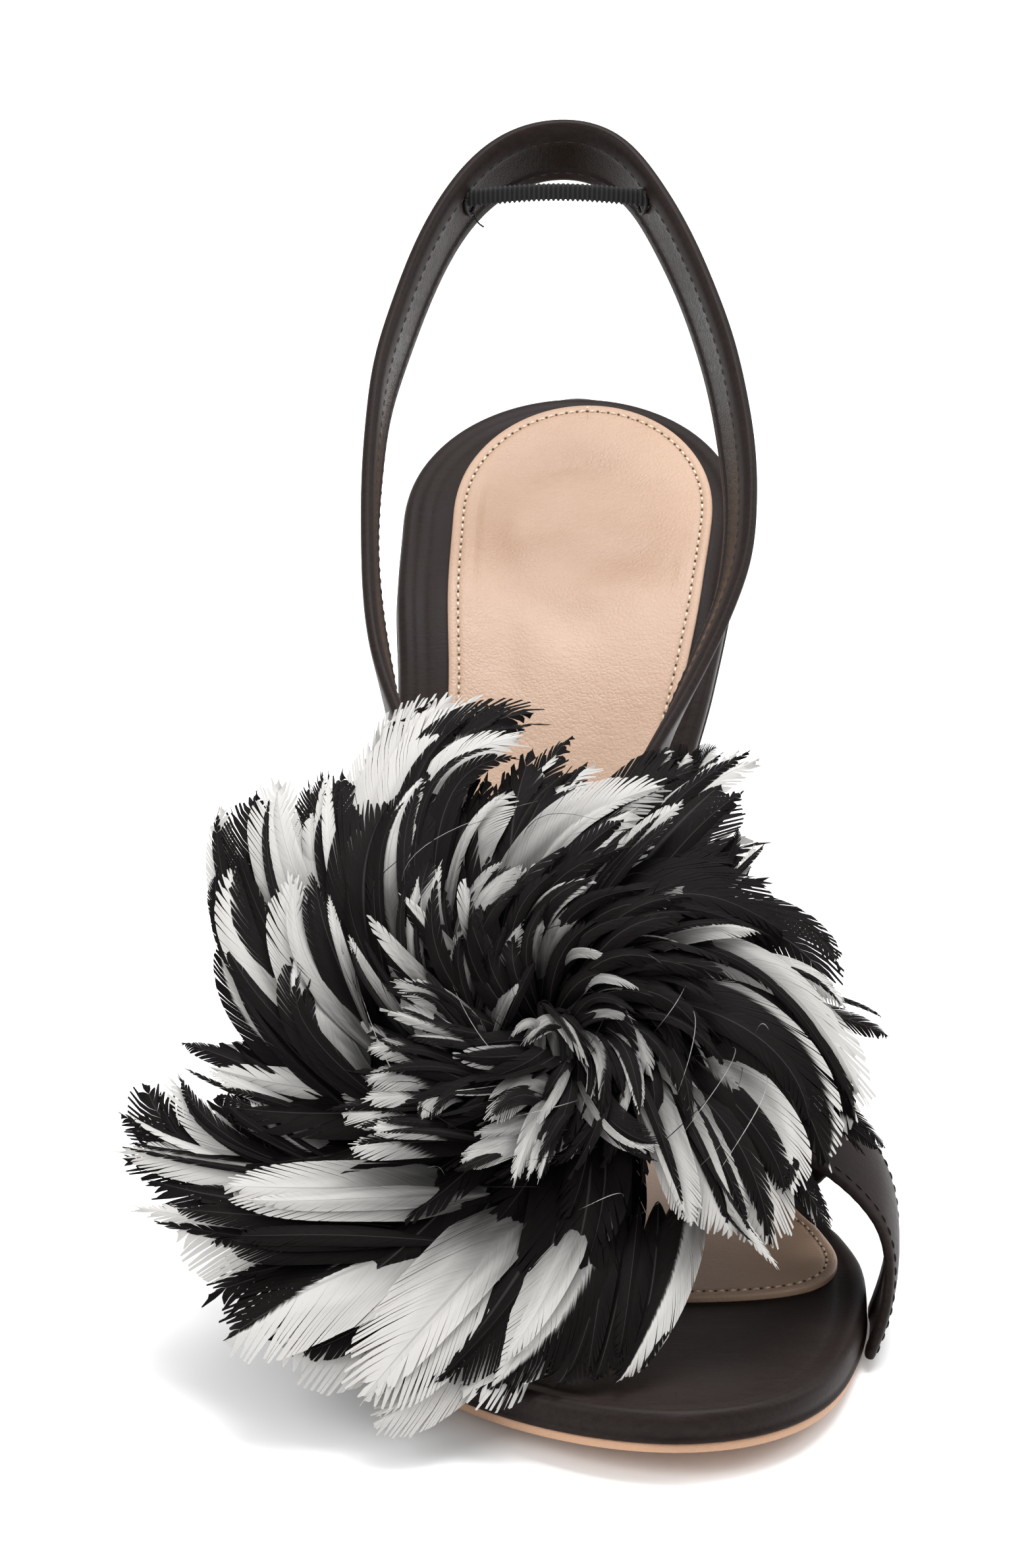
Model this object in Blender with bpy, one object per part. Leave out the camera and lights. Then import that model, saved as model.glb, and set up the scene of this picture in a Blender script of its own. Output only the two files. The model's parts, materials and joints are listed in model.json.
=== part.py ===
"""Slingback sandal with a feather pompom: the right shoe, about EU size 37.

Run with: blender --background --python part.py

World frame, in metres: +Z up, the toe points along -Y, the big-toe side is +X, and the
origin is on the floor at the centre of the forefoot tread. Every piece is worked out from
the driving sizes and the short tables below.
"""

import math

import bmesh
import bpy
import numpy as np

MM = 0.001

# Driving sizes of the last and the sole
SOLE_RUN = 214.6 * MM          # plan length, heel back to toe tip
BALL_PLACE = 0.732             # share of the run from the heel back to the tread centre
BALL_WIDTH = 81.0 * MM
HEEL_WIDTH = 56.4 * MM
SEAT_RISE = 82.6 * MM          # outsole line at the heel back above the floor
TOE_SPRING = 4.8 * MM
SEAT_DISH = 1.2 * MM           # how far the edges rise above the middle at the seat
HEEL_ROUND = 32.0 * MM         # length over which the heel end closes
TOE_ROUND = 57.0 * MM          # length over which the toe end closes

# Layers of the sole, from the floor up
OUTSOLE_WALL = 1.3 * MM
PLATFORM_WALL = 5.0 * MM
SOCK_WALL = 1.0 * MM
LAYER_GAP = 0.3 * MM           # air between two pieces that touch
OUTSOLE_INSET = 0.3 * MM       # the outsole's edge inside the platform's
OUTSOLE_CHAMFER = 0.4 * MM
# The platform's rounded edge from below: inset, and height as a share of PLATFORM_WALL
PLATFORM_EDGE = ((0.7 * MM, 0.0), (0.05 * MM, 0.16), (0.0, 0.5), (0.35 * MM, 0.8), (1.5 * MM, 1.0))
SOCK_BORDER = 6.6 * MM         # satin left bare beside the sock at the heel
SOCK_SHIFT = 1.7 * MM          # the sock's middle off the platform's there, to the big-toe side
SOCK_BORDER_FRONT = 3.8 * MM   # and at the ball
SOCK_BACK = 3.6 * MM           # satin left bare behind the sock
SOCK_FRONT = 10.5 * MM         # the sock's front edge ahead of the tread centre
SOCK_CORNER = 9.0 * MM
SOCK_ROUND = 28.0 * MM         # length over which the sock's heel end closes

# Heel and its top piece
HEEL_SEAT_RUN = 47.0 * MM      # heel back to the breast, along the plan
HEEL_INSET = 0.8 * MM
BREAST_HOLLOW = 5.0 * MM       # how far the breast line curves in
OUTSOLE_END = 9.0 * MM         # round of the outsole's end that fits that hollow
TIP_WIDTH = 10.0 * MM
TIP_RUN = 10.0 * MM
TIP_BACK = 19.0 * MM           # back of the tip ahead of the heel back
TOP_PIECE_RISE = 6.0 * MM

# Straps
VAMP_WALL = 2.2 * MM
VAMP_LAP = 1.7 * MM            # how far the upper strap rides over the lower one
VAMP_CROWN = 34.0 * MM         # inner height over the ball, above the outsole
VAMP_BULGE = 13.0 * MM         # how far the straps swell past the sole's edge
SLING_BAND = 11.5 * MM
SLING_WALL = 2.4 * MM
SLING_SPREAD = 33.0 * MM       # half width of the loop on its wide side
SLING_RUN = 141.0 * MM         # from the strap ends to the back of the loop
SLING_START = 8.0 * MM         # strap ends behind the tread centre
SLING_CLIMB = 97.2 * MM        # from the strap ends up to the back of the loop
SLING_FOOT = 38.8 * MM         # strap ends above the floor
TAPE_BAND = 2.8 * MM
TAPE_WALL = 1.2 * MM
TAPE_PLACE = 0.924             # share of the sling's run where the elastic crosses
TAPE_RISE = 1.9 * MM           # elastic above the middle of the strap
TAPE_EASE = 0.55 * MM          # more air at its ends, where the strap curves

# Feather pompom
POMPOM_REACH = 70.0 * MM
POMPOM_SEAT = (-5.0 * MM, 4.0 * MM, 40.0 * MM)
POMPOM_TILT = math.radians(35.0)
POMPOM_DOME = 13.0 * MM        # thickness above the middle surface at the centre
POMPOM_PAD = 3.0 * MM          # thickness below it
POMPOM_HUMP = 7.2 * MM         # how far the feathers arch between root and tip
POMPOM_REST = 0.6 * MM         # its underside over the straps
TIP_THICKNESS = 1.6 * MM
NOTCH_DEPTH = 0.30             # share of the reach cut away between two locks
RIDGE = 1.3 * MM               # height of each lock's ridge
SWIRL = math.radians(24.0)     # how far the tips turn past their roots
LOCKS = 22
SAMPLES_PER_LOCK = 4

HEEL_BACK = BALL_PLACE * SOLE_RUN


def table(names, rows):
    """Named columns of a table of rows."""
    columns = np.array(rows, float).T
    return dict(zip(names.split(), columns))


# Along the sole, from the heel back (0) to the toe tip (1): the rise as a share of
# SEAT_RISE, the spring of TOE_SPRING, the dish of SEAT_DISH, the centre line of
# BALL_WIDTH, how much of the local width comes from BALL_WIDTH instead of HEEL_WIDTH,
# and the half width as a share of that local width.
LAST = table("at rise spring dish centre ball half", [
    (0.000, 1.000, 0.00, 1.0, 0.006, 0.00, 0.500),
    (0.071, 0.943, 0.00, 1.0, 0.000, 0.00, 0.500),
    (0.143, 0.885, 0.00, 1.0, -0.007, 0.00, 0.498),
    (0.214, 0.817, 0.00, 1.0, -0.024, 0.00, 0.488),
    (0.286, 0.701, 0.00, 0.9, -0.043, 0.05, 0.444),
    (0.357, 0.540, 0.00, 0.8, -0.080, 0.17, 0.389),
    (0.429, 0.362, 0.00, 0.6, -0.099, 0.37, 0.357),
    (0.500, 0.200, 0.00, 0.4, -0.086, 0.57, 0.374),
    (0.571, 0.079, 0.00, 0.2, -0.055, 0.76, 0.419),
    (0.643, 0.017, 0.00, 0.0, -0.010, 0.91, 0.473),
    (0.685, 0.000, 0.00, 0.0, 0.018, 0.97, 0.492),
    (0.732, 0.000, 0.00, 0.0, 0.043, 1.00, 0.500),
    (0.775, 0.000, 0.00, 0.0, 0.057, 1.00, 0.497),
    (0.857, 0.000, 0.25, 0.0, 0.085, 1.00, 0.492),
    (0.929, 0.000, 0.58, 0.0, 0.127, 1.00, 0.490),
    (1.000, 0.000, 1.00, 0.0, 0.173, 1.00, 0.490),
])

# Down the heel, from the seat (0) to the tip (1): what is left of the seat's extra width,
# back overhang and front overhang over those of the tip.
HEEL_FORM = table("drop girth back front", [
    (0.00, 1.00, 1.00, 1.00),
    (0.05, 0.95, 0.99, 0.92),
    (0.12, 0.76, 0.93, 0.70),
    (0.21, 0.48, 0.81, 0.43),
    (0.32, 0.25, 0.64, 0.22),
    (0.46, 0.10, 0.43, 0.09),
    (0.64, 0.03, 0.23, 0.03),
    (0.84, 0.00, 0.08, 0.00),
    (1.00, 0.00, 0.00, 0.00),
])

# The foot's arch that the vamp straps lie on. "along" is in sole runs behind the tread
# centre; crown is a share of VAMP_CROWN, the bulges are shares of VAMP_BULGE.
ARCH = table("along crown medial lateral", [
    (-0.12, 0.66, 0.36, 0.35),
    (-0.05, 0.82, 0.46, 0.55),
    (0.00, 0.90, 0.52, 0.70),
    (0.05, 1.00, 0.64, 0.80),
    (0.10, 1.11, 0.76, 0.85),
    (0.21, 1.35, 0.75, 0.80),
])

# The two vamp straps over that arch, from the big-toe side (turn 0) to the little-toe side
# (turn 1): front and rear edge in sole runs behind the tread centre, and the lift over the
# arch as a share of VAMP_LAP.
STRAP_FRONT_MEDIAL = table("turn front rear lift", [
    (0.00, -0.108, -0.019, 0.0),
    (0.10, -0.093, -0.005, 0.3),
    (0.22, -0.064, 0.030, 1.0),
    (0.36, -0.034, 0.066, 1.0),
    (0.50, -0.005, 0.102, 1.0),
    (0.64, 0.028, 0.134, 1.0),
    (0.78, 0.062, 0.164, 1.0),
    (0.90, 0.092, 0.188, 0.3),
    (1.00, 0.112, 0.201, 0.0),
])
STRAP_FRONT_LATERAL = table("turn front rear lift", [
    (0.00, 0.112, 0.201, 0.0),
    (0.10, 0.084, 0.180, 0.0),
    (0.22, 0.046, 0.148, 0.0),
    (0.36, 0.016, 0.122, 0.0),
    (0.50, -0.005, 0.098, 0.0),
    (0.64, -0.024, 0.074, 0.0),
    (0.78, -0.044, 0.050, 0.0),
    (0.90, -0.062, 0.029, 0.0),
    (1.00, -0.076, 0.016, 0.0),
])

# The sling, from its end on the little-toe side round the back to the big-toe side:
# across in SLING_SPREAD, along in SLING_RUN from the strap ends, up in SLING_CLIMB, and
# how far its upper edge leans out of the loop, in degrees.
SLING = table("across along up lean", [
    (-0.36, 0.000, -0.006, -88),
    (-0.41, 0.057, 0.036, -84),
    (-0.50, 0.128, 0.108, -66),
    (-0.70, 0.213, 0.218, -22),
    (-0.86, 0.312, 0.352, 6),
    (-0.95, 0.397, 0.424, 17),
    (-1.00, 0.475, 0.491, 10),
    (-1.02, 0.560, 0.570, 3),
    (-0.98, 0.690, 0.705, 2),
    (-0.86, 0.794, 0.799, 1),
    (-0.68, 0.890, 0.900, -3),
    (-0.45, 0.965, 0.966, -9),
    (-0.20, 0.996, 0.997, -14),
    (0.02, 1.000, 1.000, -15),
    (0.22, 0.981, 0.978, -12),
    (0.40, 0.920, 0.926, -4),
    (0.60, 0.822, 0.830, 3),
    (0.74, 0.710, 0.722, 12),
    (0.80, 0.590, 0.605, 18),
    (0.77, 0.510, 0.524, 26),
    (0.65, 0.440, 0.452, 33),
    (0.49, 0.365, 0.378, 30),
    (0.34, 0.290, 0.306, 10),
    (0.21, 0.203, 0.205, -28),
    (0.15, 0.128, 0.110, -66),
    (0.13, 0.057, 0.038, -84),
    (0.12, 0.000, 0.002, -88),
])

# The pompom's rim, anticlockwise from the big-toe side as the wearer sees it (turn in
# degrees): how far the feather tips reach, and how far they stand off its plane, both as
# shares of POMPOM_REACH.
ROSETTE = table("turn reach raise", [
    (0, 0.76, 0.10),
    (30, 0.73, 0.10),
    (56, 0.83, 0.11),
    (76, 0.72, 0.11),
    (96, 0.86, 0.11),
    (125, 0.83, 0.11),
    (143, 0.91, 0.11),
    (165, 0.84, 0.10),
    (190, 0.95, 0.09),
    (215, 1.02, 0.09),
    (232, 1.08, 0.11),
    (248, 1.05, 0.12),
    (264, 0.86, 0.12),
    (281, 0.89, 0.11),
    (298, 0.72, 0.11),
    (314, 0.87, 0.11),
    (338, 0.75, 0.10),
    (360, 0.76, 0.10),
])


def smooth(columns, wanted, place, key):
    """Monotone cubic through a table's column, held flat past both ends."""
    x, y = columns[key], columns[wanted]
    place = np.clip(np.asarray(place, float), x[0], x[-1])
    step = np.diff(x)
    slope = np.diff(y) / step
    ends = np.concatenate([slope[:1], slope, slope[-1:]])
    before, after = ends[:-1], ends[1:]
    same = before * after > 0
    total = np.where(same, before + after, 1.0)
    tangent = np.where(same, 2.0 * before * after / total, 0.0)
    row = np.clip(np.searchsorted(x, place, side="right") - 1, 0, len(step) - 1)
    t = (place - x[row]) / step[row]
    start = (1 + 2 * t) * (1 - t) ** 2 * y[row] + t * (1 - t) ** 2 * step[row] * tangent[row]
    end = t * t * (3 - 2 * t) * y[row + 1] + t * t * (t - 1) * step[row] * tangent[row + 1]
    return start + end


def last(wanted, y):
    """A column of the last's table at a place along the shoe."""
    return smooth(LAST, wanted, (HEEL_BACK - np.asarray(y, float)) / SOLE_RUN, "at")


def end_round(distance, radius):
    """Share of the full width left where an end closes as a round."""
    left = np.clip(1.0 - distance / radius, 0.0, 1.0)
    return np.sqrt(1.0 - left * left)


def centre_line(y):
    """Middle of the sole across the shoe."""
    return last("centre", y) * BALL_WIDTH


def full_half(y):
    """Half width of the sole before its ends are rounded."""
    ball = last("ball", y)
    return last("half", y) * (HEEL_WIDTH + (BALL_WIDTH - HEEL_WIDTH) * ball)


def sole_half(y):
    """Half width of the platform."""
    y = np.asarray(y, float)
    toe_tip = HEEL_BACK - SOLE_RUN
    return full_half(y) * end_round(HEEL_BACK - y, HEEL_ROUND) * end_round(y - toe_tip, TOE_ROUND)


def bed_height(x, y):
    """Height of the outsole's underside."""
    spread = (x - centre_line(y)) / full_half(y)
    dish = SEAT_DISH * last("dish", y) * spread * spread
    return SEAT_RISE * last("rise", y) + TOE_SPRING * last("spring", y) + dish


def foot_bed(plan, height):
    """Points at a height above the outsole's underside, square to its slope."""
    x, y = plan[:, 0], plan[:, 1]
    step = 0.5 * MM
    slope = (bed_height(x, y + step) - bed_height(x, y - step)) / (2 * step)
    length = np.sqrt(1.0 + slope * slope)
    return np.stack([x, y - height * slope / length, bed_height(x, y) + height / length], axis=1)


def stations(back, front, back_round, front_round, middle=18, end=7):
    """Places along the shoe, closer together where the ends are round."""
    turn = np.radians(np.linspace(8.0, 90.0, end))
    rear = back - back_round * (1 - np.cos(turn))
    fore = (front + front_round * (1 - np.cos(turn)))[::-1]
    between = np.linspace(rear[-1], fore[0], middle + 2)[1:-1]
    return np.concatenate([rear, between, fore])


def inset_loop(loop, inset):
    """A closed plan loop moved inward by a distance; it runs clockwise from above."""
    ahead = np.roll(loop, -1, axis=0) - np.roll(loop, 1, axis=0)
    ahead /= np.linalg.norm(ahead, axis=1)[:, None]
    inward = np.stack([ahead[:, 1], -ahead[:, 0]], axis=1)
    return loop + inward * inset


def side_loop(y, centre, half):
    """Plan loop down the big-toe side and back up the other side."""
    right = np.stack([centre + half, y], axis=1)
    left = np.stack([centre - half, y], axis=1)
    return np.concatenate([right, left[::-1]])


def new_object(name, vertices, faces, material, smooth_shade=True):
    """Object from points and faces, with its faces turned outward."""
    mesh = bpy.data.meshes.new(name)
    mesh.from_pydata([tuple(map(float, point)) for point in vertices], [], faces)
    work = bmesh.new()
    work.from_mesh(mesh)
    bmesh.ops.recalc_face_normals(work, faces=work.faces)
    work.to_mesh(mesh)
    work.free()
    mesh.polygons.foreach_set("use_smooth", [smooth_shade] * len(mesh.polygons))
    mesh.materials.append(material)
    thing = bpy.data.objects.new(name, mesh)
    bpy.context.scene.collection.objects.link(thing)
    return thing


def cap_faces(loop_start, count, rungs, columns):
    """Faces that close a side loop with rungs from one side to the other."""
    half = count // 2
    faces = []

    def across(k):
        return [loop_start + k, *rungs[k], loop_start + count - 1 - k]

    for k in range(half - 1):
        here, there = across(k), across(k + 1)
        if len(here) != len(there):
            faces.append(tuple(here + there[::-1]))
            continue
        for c in range(columns + 1):
            faces.append((here[c], here[c + 1], there[c + 1], there[c]))
    return faces


def slab(name, loop, levels, material, columns=3):
    """Layer of the sole: a plan loop lifted through (inset, height) levels, and closed."""
    count = len(loop)
    half = count // 2
    points = []
    faces = []
    starts = []
    for inset, height in levels:
        starts.append(sum(len(block) for block in points))
        points.append(foot_bed(inset_loop(loop, inset), height))
    for lower, upper in zip(starts[:-1], starts[1:]):
        for k in range(count):
            n = (k + 1) % count
            faces.append((lower + k, upper + k, upper + n, lower + n))
    for start, (inset, height) in ((starts[0], levels[0]), (starts[-1], levels[-1])):
        plan = inset_loop(loop, inset)
        rungs = [[] for _ in range(half)]
        total = sum(len(block) for block in points)
        for k in range(1, half - 1):
            share = np.linspace(0, 1, columns + 2)[1:-1, None]
            line = plan[k] * (1 - share) + plan[count - 1 - k] * share
            points.append(foot_bed(line, height))
            rungs[k] = list(range(total, total + columns))
            total += columns
        faces += cap_faces(start, count, rungs, columns)
    return new_object(name, np.concatenate(points), faces, material)


def sole_stations():
    """Places along the sole that its layers share, so that their facets lie parallel."""
    return stations(HEEL_BACK, HEEL_BACK - SOLE_RUN, HEEL_ROUND, TOE_ROUND, middle=22)


def make_platform(material):
    """Insole board wrapped in satin, with rounded edges."""
    y = sole_stations()
    loop = side_loop(y, centre_line(y), sole_half(y))
    base = OUTSOLE_WALL + LAYER_GAP
    levels = [(inset, base + share * PLATFORM_WALL) for inset, share in PLATFORM_EDGE]
    return slab("platform", loop, levels, material)


def make_outsole(material):
    """Thin leather outsole from the heel's breast to the toe."""
    back = HEEL_BACK - HEEL_SEAT_RUN - HEEL_INSET + BREAST_HOLLOW - 3 * LAYER_GAP
    rounded = back - OUTSOLE_END * (1 - np.cos(np.radians([14.0, 35.0, 55.0, 75.0])))
    y = sole_stations()
    y = np.concatenate([rounded, y[y < rounded[-1] - 1 * MM]])
    loop = side_loop(y, centre_line(y), sole_half(y) * end_round(back - y, OUTSOLE_END))
    levels = [(OUTSOLE_INSET + OUTSOLE_CHAMFER, 0.0), (OUTSOLE_INSET, 0.35 * OUTSOLE_WALL),
              (OUTSOLE_INSET, OUTSOLE_WALL)]
    return slab("outsole", loop, levels, material)


def sock_half(y, back, front):
    """Half width of the sock lining, rounded at the heel and cornered in front."""
    ball = last("ball", y)
    border = SOCK_BORDER + (SOCK_BORDER_FRONT - SOCK_BORDER) * ball
    half = (full_half(y) - border) * end_round(back - y, SOCK_ROUND)
    short = np.clip(SOCK_CORNER - (y - front), 0.0, SOCK_CORNER)
    return half - (SOCK_CORNER - np.sqrt(SOCK_CORNER ** 2 - short * short))


def make_sock(material):
    """Leather sock lining on the platform, ending behind the toes."""
    back = HEEL_BACK - SOCK_BACK
    front = -SOCK_FRONT
    ends = stations(back, front, SOCK_ROUND, SOCK_CORNER, middle=1, end=6)
    shared = sole_stations()
    shared = shared[(shared < ends[5] - 1 * MM) & (shared > ends[-6] + 1 * MM)]
    y = np.concatenate([ends[:6], shared, ends[-6:]])
    middle = centre_line(y) + SOCK_SHIFT * (1 - last("ball", y))
    loop = side_loop(y, middle, sock_half(y, back, front))
    base = OUTSOLE_WALL + PLATFORM_WALL + 2 * LAYER_GAP
    levels = [(0.0, base), (0.0, base + 0.6 * SOCK_WALL), (0.4 * MM, base + SOCK_WALL)]
    return slab("sock_lining", loop, levels, material)


def heel_rings():
    """Seat plan of the heel and its normalised coordinates, with the breast line."""
    back, front = HEEL_BACK, HEEL_BACK - HEEL_SEAT_RUN
    turn = np.radians(np.linspace(8.0, 90.0, 7))
    rear = back - HEEL_ROUND * (1 - np.cos(turn))
    y = np.concatenate([rear, np.linspace(rear[-1], front, 4)[1:]])
    half = sole_half(y) - HEEL_INSET
    centre = centre_line(y)
    right = np.stack([centre + half, y - HEEL_INSET], axis=1)
    left = np.stack([centre - half, y - HEEL_INSET], axis=1)
    share = np.linspace(0, 1, 5)[1:-1]
    breast = right[-1] * (1 - share[:, None]) + left[-1] * share[:, None]
    breast[:, 1] += BREAST_HOLLOW * np.sin(math.pi * share)
    return right, breast, left


def make_heel(material):
    """Slim wrapped heel under the seat, lofted down to its tip."""
    right, breast, left = heel_rings()
    loop = np.concatenate([right, breast, left[::-1]])
    count = len(loop)
    middle = 0.5 * (right[-1, 0] + left[-1, 0])
    seat_half = np.max(np.abs(loop[:, 0] - middle))
    back_y, front_y = loop[:, 1].max(), loop[:, 1].min()
    u = (loop[:, 0] - middle) / seat_half
    v = (back_y - loop[:, 1]) / (back_y - front_y)
    top = foot_bed(loop, OUTSOLE_WALL)
    tip_z = TOP_PIECE_RISE + LAYER_GAP
    tip_back = HEEL_BACK - TIP_BACK
    tip_front = tip_back - TIP_RUN
    points = []
    for drop, girth, rear, fore in zip(*(HEEL_FORM[k] for k in ("drop", "girth", "back", "front"))):
        half = TIP_WIDTH / 2 + (seat_half - TIP_WIDTH / 2) * girth
        ring_back = tip_back + (back_y - tip_back) * rear
        ring_front = tip_front + (front_y - tip_front) * fore
        ring_y = ring_back + (ring_front - ring_back) * v
        if drop == 0:
            ring_y = top[:, 1]
        ring_z = top[:, 2] * (1 - drop) + tip_z * drop
        points.append(np.stack([middle + u * half, ring_y, ring_z], axis=1))
    faces = []
    for ring in range(len(points) - 1):
        for k in range(count):
            n = (k + 1) % count
            low, high = ring * count, (ring + 1) * count
            faces.append((low + k, high + k, high + n, low + n))
    tip_start = (len(points) - 1) * count
    faces.append(tuple(range(tip_start, tip_start + count)))
    faces += seat_cap(points, loop, len(right), len(breast))
    return new_object("heel", np.concatenate(points), faces, material)


def seat_cap(points, loop, sides, columns):
    """Rungs across the heel's top, following the underside of the platform."""
    count = len(loop)
    total = len(points) * count
    faces = []
    previous = [0, count - 1]
    for k in range(1, sides):
        left = count - 1 - k
        if k < sides - 1:
            share = np.linspace(0, 1, columns + 2)[1:-1, None]
            line = loop[k] * (1 - share) + loop[left] * share
            points.append(foot_bed(line, OUTSOLE_WALL))
            inner = list(range(total, total + columns))
            total += columns
        else:
            inner = list(range(sides, sides + columns))
        here = [k, *inner, left]
        if len(previous) != len(here):
            faces.append(tuple(previous + here[::-1]))
        else:
            for c in range(len(here) - 1):
                faces.append((previous[c], previous[c + 1], here[c + 1], here[c]))
        previous = here
    return faces


def make_top_piece(material):
    """Hard wearing tip under the heel, flat on the floor."""
    right, _, left = heel_rings()
    middle = 0.5 * (right[-1, 0] + left[-1, 0])
    turn = np.linspace(0, math.pi, 13)
    straight = 0.3 * TIP_RUN
    back_y = HEEL_BACK - TIP_BACK
    arc = np.stack([np.cos(turn) * TIP_WIDTH / 2,
                    np.sin(turn) * (TIP_RUN - straight)], axis=1)
    outline = np.concatenate([arc, [[-TIP_WIDTH / 2, -straight], [TIP_WIDTH / 2, -straight]]])
    outline += [middle, back_y - (TIP_RUN - straight)]
    centre = np.array([middle, back_y - TIP_RUN / 2])
    points = []
    for shrink, z in ((0.94, 0.0), (1.0, 0.5 * MM), (1.0, TOP_PIECE_RISE)):
        ring = centre + (outline - centre) * shrink
        points.append(np.column_stack([ring, np.full(len(ring), z)]))
    count = len(outline)
    faces = [tuple(range(count)), tuple(range(2 * count, 3 * count))]
    for ring in range(2):
        for k in range(count):
            n = (k + 1) % count
            low, high = ring * count, (ring + 1) * count
            faces.append((low + k, high + k, high + n, low + n))
    return new_object("heel_top_piece", np.concatenate(points), faces, material, False)


def arch_point(turn, y):
    """Point of the foot's arch: turn 0 at the big-toe side's base, 1 at the other."""
    along = y / SOLE_RUN
    angle = turn * math.pi
    side = np.where(turn <= 0.5, 1.0, -1.0)
    medial = smooth(ARCH, "medial", along, "along")
    lateral = smooth(ARCH, "lateral", along, "along")
    bulge = VAMP_BULGE * np.where(turn <= 0.5, medial, lateral)
    reach = (sole_half(y) + LAYER_GAP) * np.abs(np.cos(angle)) ** 0.8
    swell = bulge * np.abs(np.sin(2 * angle))
    base = bed_height(centre_line(y), y) + OUTSOLE_WALL + LAYER_GAP
    crown = VAMP_CROWN * smooth(ARCH, "crown", along, "along")
    z = base + crown * np.abs(np.sin(angle)) ** 0.9
    return np.stack([centre_line(y) + side * (reach + swell), y, z], axis=-1)


def arch_offset(turn, y, offset):
    """Point of the arch moved out along its own normal."""
    turn = np.clip(turn, 0.0, 1.0)
    small = 0.002
    step = 0.4 * MM
    before, after = np.clip(turn - small, 0, 1), np.clip(turn + small, 0, 1)
    around = arch_point(after, y) - arch_point(before, y)
    along = arch_point(turn, y + step) - arch_point(turn, y - step)
    normal = np.cross(along, around)
    normal /= np.linalg.norm(normal, axis=-1)[..., None]
    normal *= np.where(normal[..., 2] < -0.5, -1.0, 1.0)[..., None]
    return arch_point(turn, y) + normal * np.asarray(offset)[..., None]


def make_vamp_strap(name, edges, material, steps=34, columns=4):
    """Strap of even wall laid over the arch between its front and rear edges."""
    turn = 0.5 - 0.5 * np.cos(np.linspace(0, math.pi, steps))
    turn = 0.35 * turn + 0.65 * np.linspace(0, 1, steps)
    front = smooth(edges, "front", turn, "turn") * SOLE_RUN
    rear = smooth(edges, "rear", turn, "turn") * SOLE_RUN
    lift = smooth(edges, "lift", turn, "turn") * VAMP_LAP
    round_off = 0.35 * VAMP_WALL
    sides = []
    for share in np.linspace(0, 1, columns + 1):
        inset = round_off * (1 - 2 * share)
        sides.append(front + (rear - front) * share + inset)
    ring = [arch_offset(turn, y, lift) for y in sides]
    ring.append(arch_offset(turn, rear, lift + 0.5 * VAMP_WALL))
    ring += [arch_offset(turn, y, lift + VAMP_WALL) for y in sides[::-1]]
    ring.append(arch_offset(turn, front, lift + 0.5 * VAMP_WALL))
    return tube(name, np.stack(ring, axis=1), material)


def tube(name, rings, material):
    """Closed body from a row of rings, each an array of points."""
    steps, count = rings.shape[:2]
    faces = [tuple(range(count)), tuple(range((steps - 1) * count, steps * count))]
    for i in range(steps - 1):
        for k in range(count):
            n = (k + 1) % count
            faces.append((i * count + k, (i + 1) * count + k, (i + 1) * count + n, i * count + n))
    return new_object(name, rings.reshape(-1, 3), faces, material)


def sling_path(steps=64):
    """Middle line of the sling with its upward and outward directions."""
    rows = np.stack([SLING["across"] * SLING_SPREAD,
                     SLING_START + SLING["along"] * SLING_RUN,
                     SLING_FOOT + SLING["up"] * SLING_CLIMB], axis=1)
    chord = np.concatenate([[0], np.cumsum(np.linalg.norm(np.diff(rows, axis=0), axis=1))])
    chord /= chord[-1]
    track = {"s": chord, "x": rows[:, 0], "y": rows[:, 1], "z": rows[:, 2], "lean": SLING["lean"]}
    s = np.linspace(0, 1, steps)
    line = np.stack([smooth(track, axis, s, "s") for axis in "xyz"], axis=1)
    for _ in range(3):
        line[1:-1] = 0.25 * line[:-2] + 0.5 * line[1:-1] + 0.25 * line[2:]
    lean = np.radians(smooth(track, "lean", s, "s"))
    tangent = np.gradient(line, axis=0)
    tangent /= np.linalg.norm(tangent, axis=1)[:, None]
    upright = np.array([0.0, 0.0, 1.0]) - tangent * tangent[:, 2:3]
    upright /= np.linalg.norm(upright, axis=1)[:, None]
    outward = np.cross(upright, tangent)
    up = upright * np.cos(lean)[:, None] + outward * np.sin(lean)[:, None]
    out = np.cross(up, tangent)
    return line, up, out


def make_sling(material):
    """Slingback strap, one band from vamp to vamp round the back of the heel."""
    line, up, out = sling_path()
    high, thick = SLING_BAND / 2, SLING_WALL / 2
    section = [(-0.86, -1), (-0.45, -1), (0.45, -1), (0.86, -1), (1, 0),
               (0.86, 1), (0.45, 1), (-0.45, 1), (-0.86, 1), (-1, 0)]
    ring = [line + up * (high * a) + out * (thick * b) for a, b in section]
    return tube("sling_part", np.stack(ring, axis=1), material)


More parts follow.
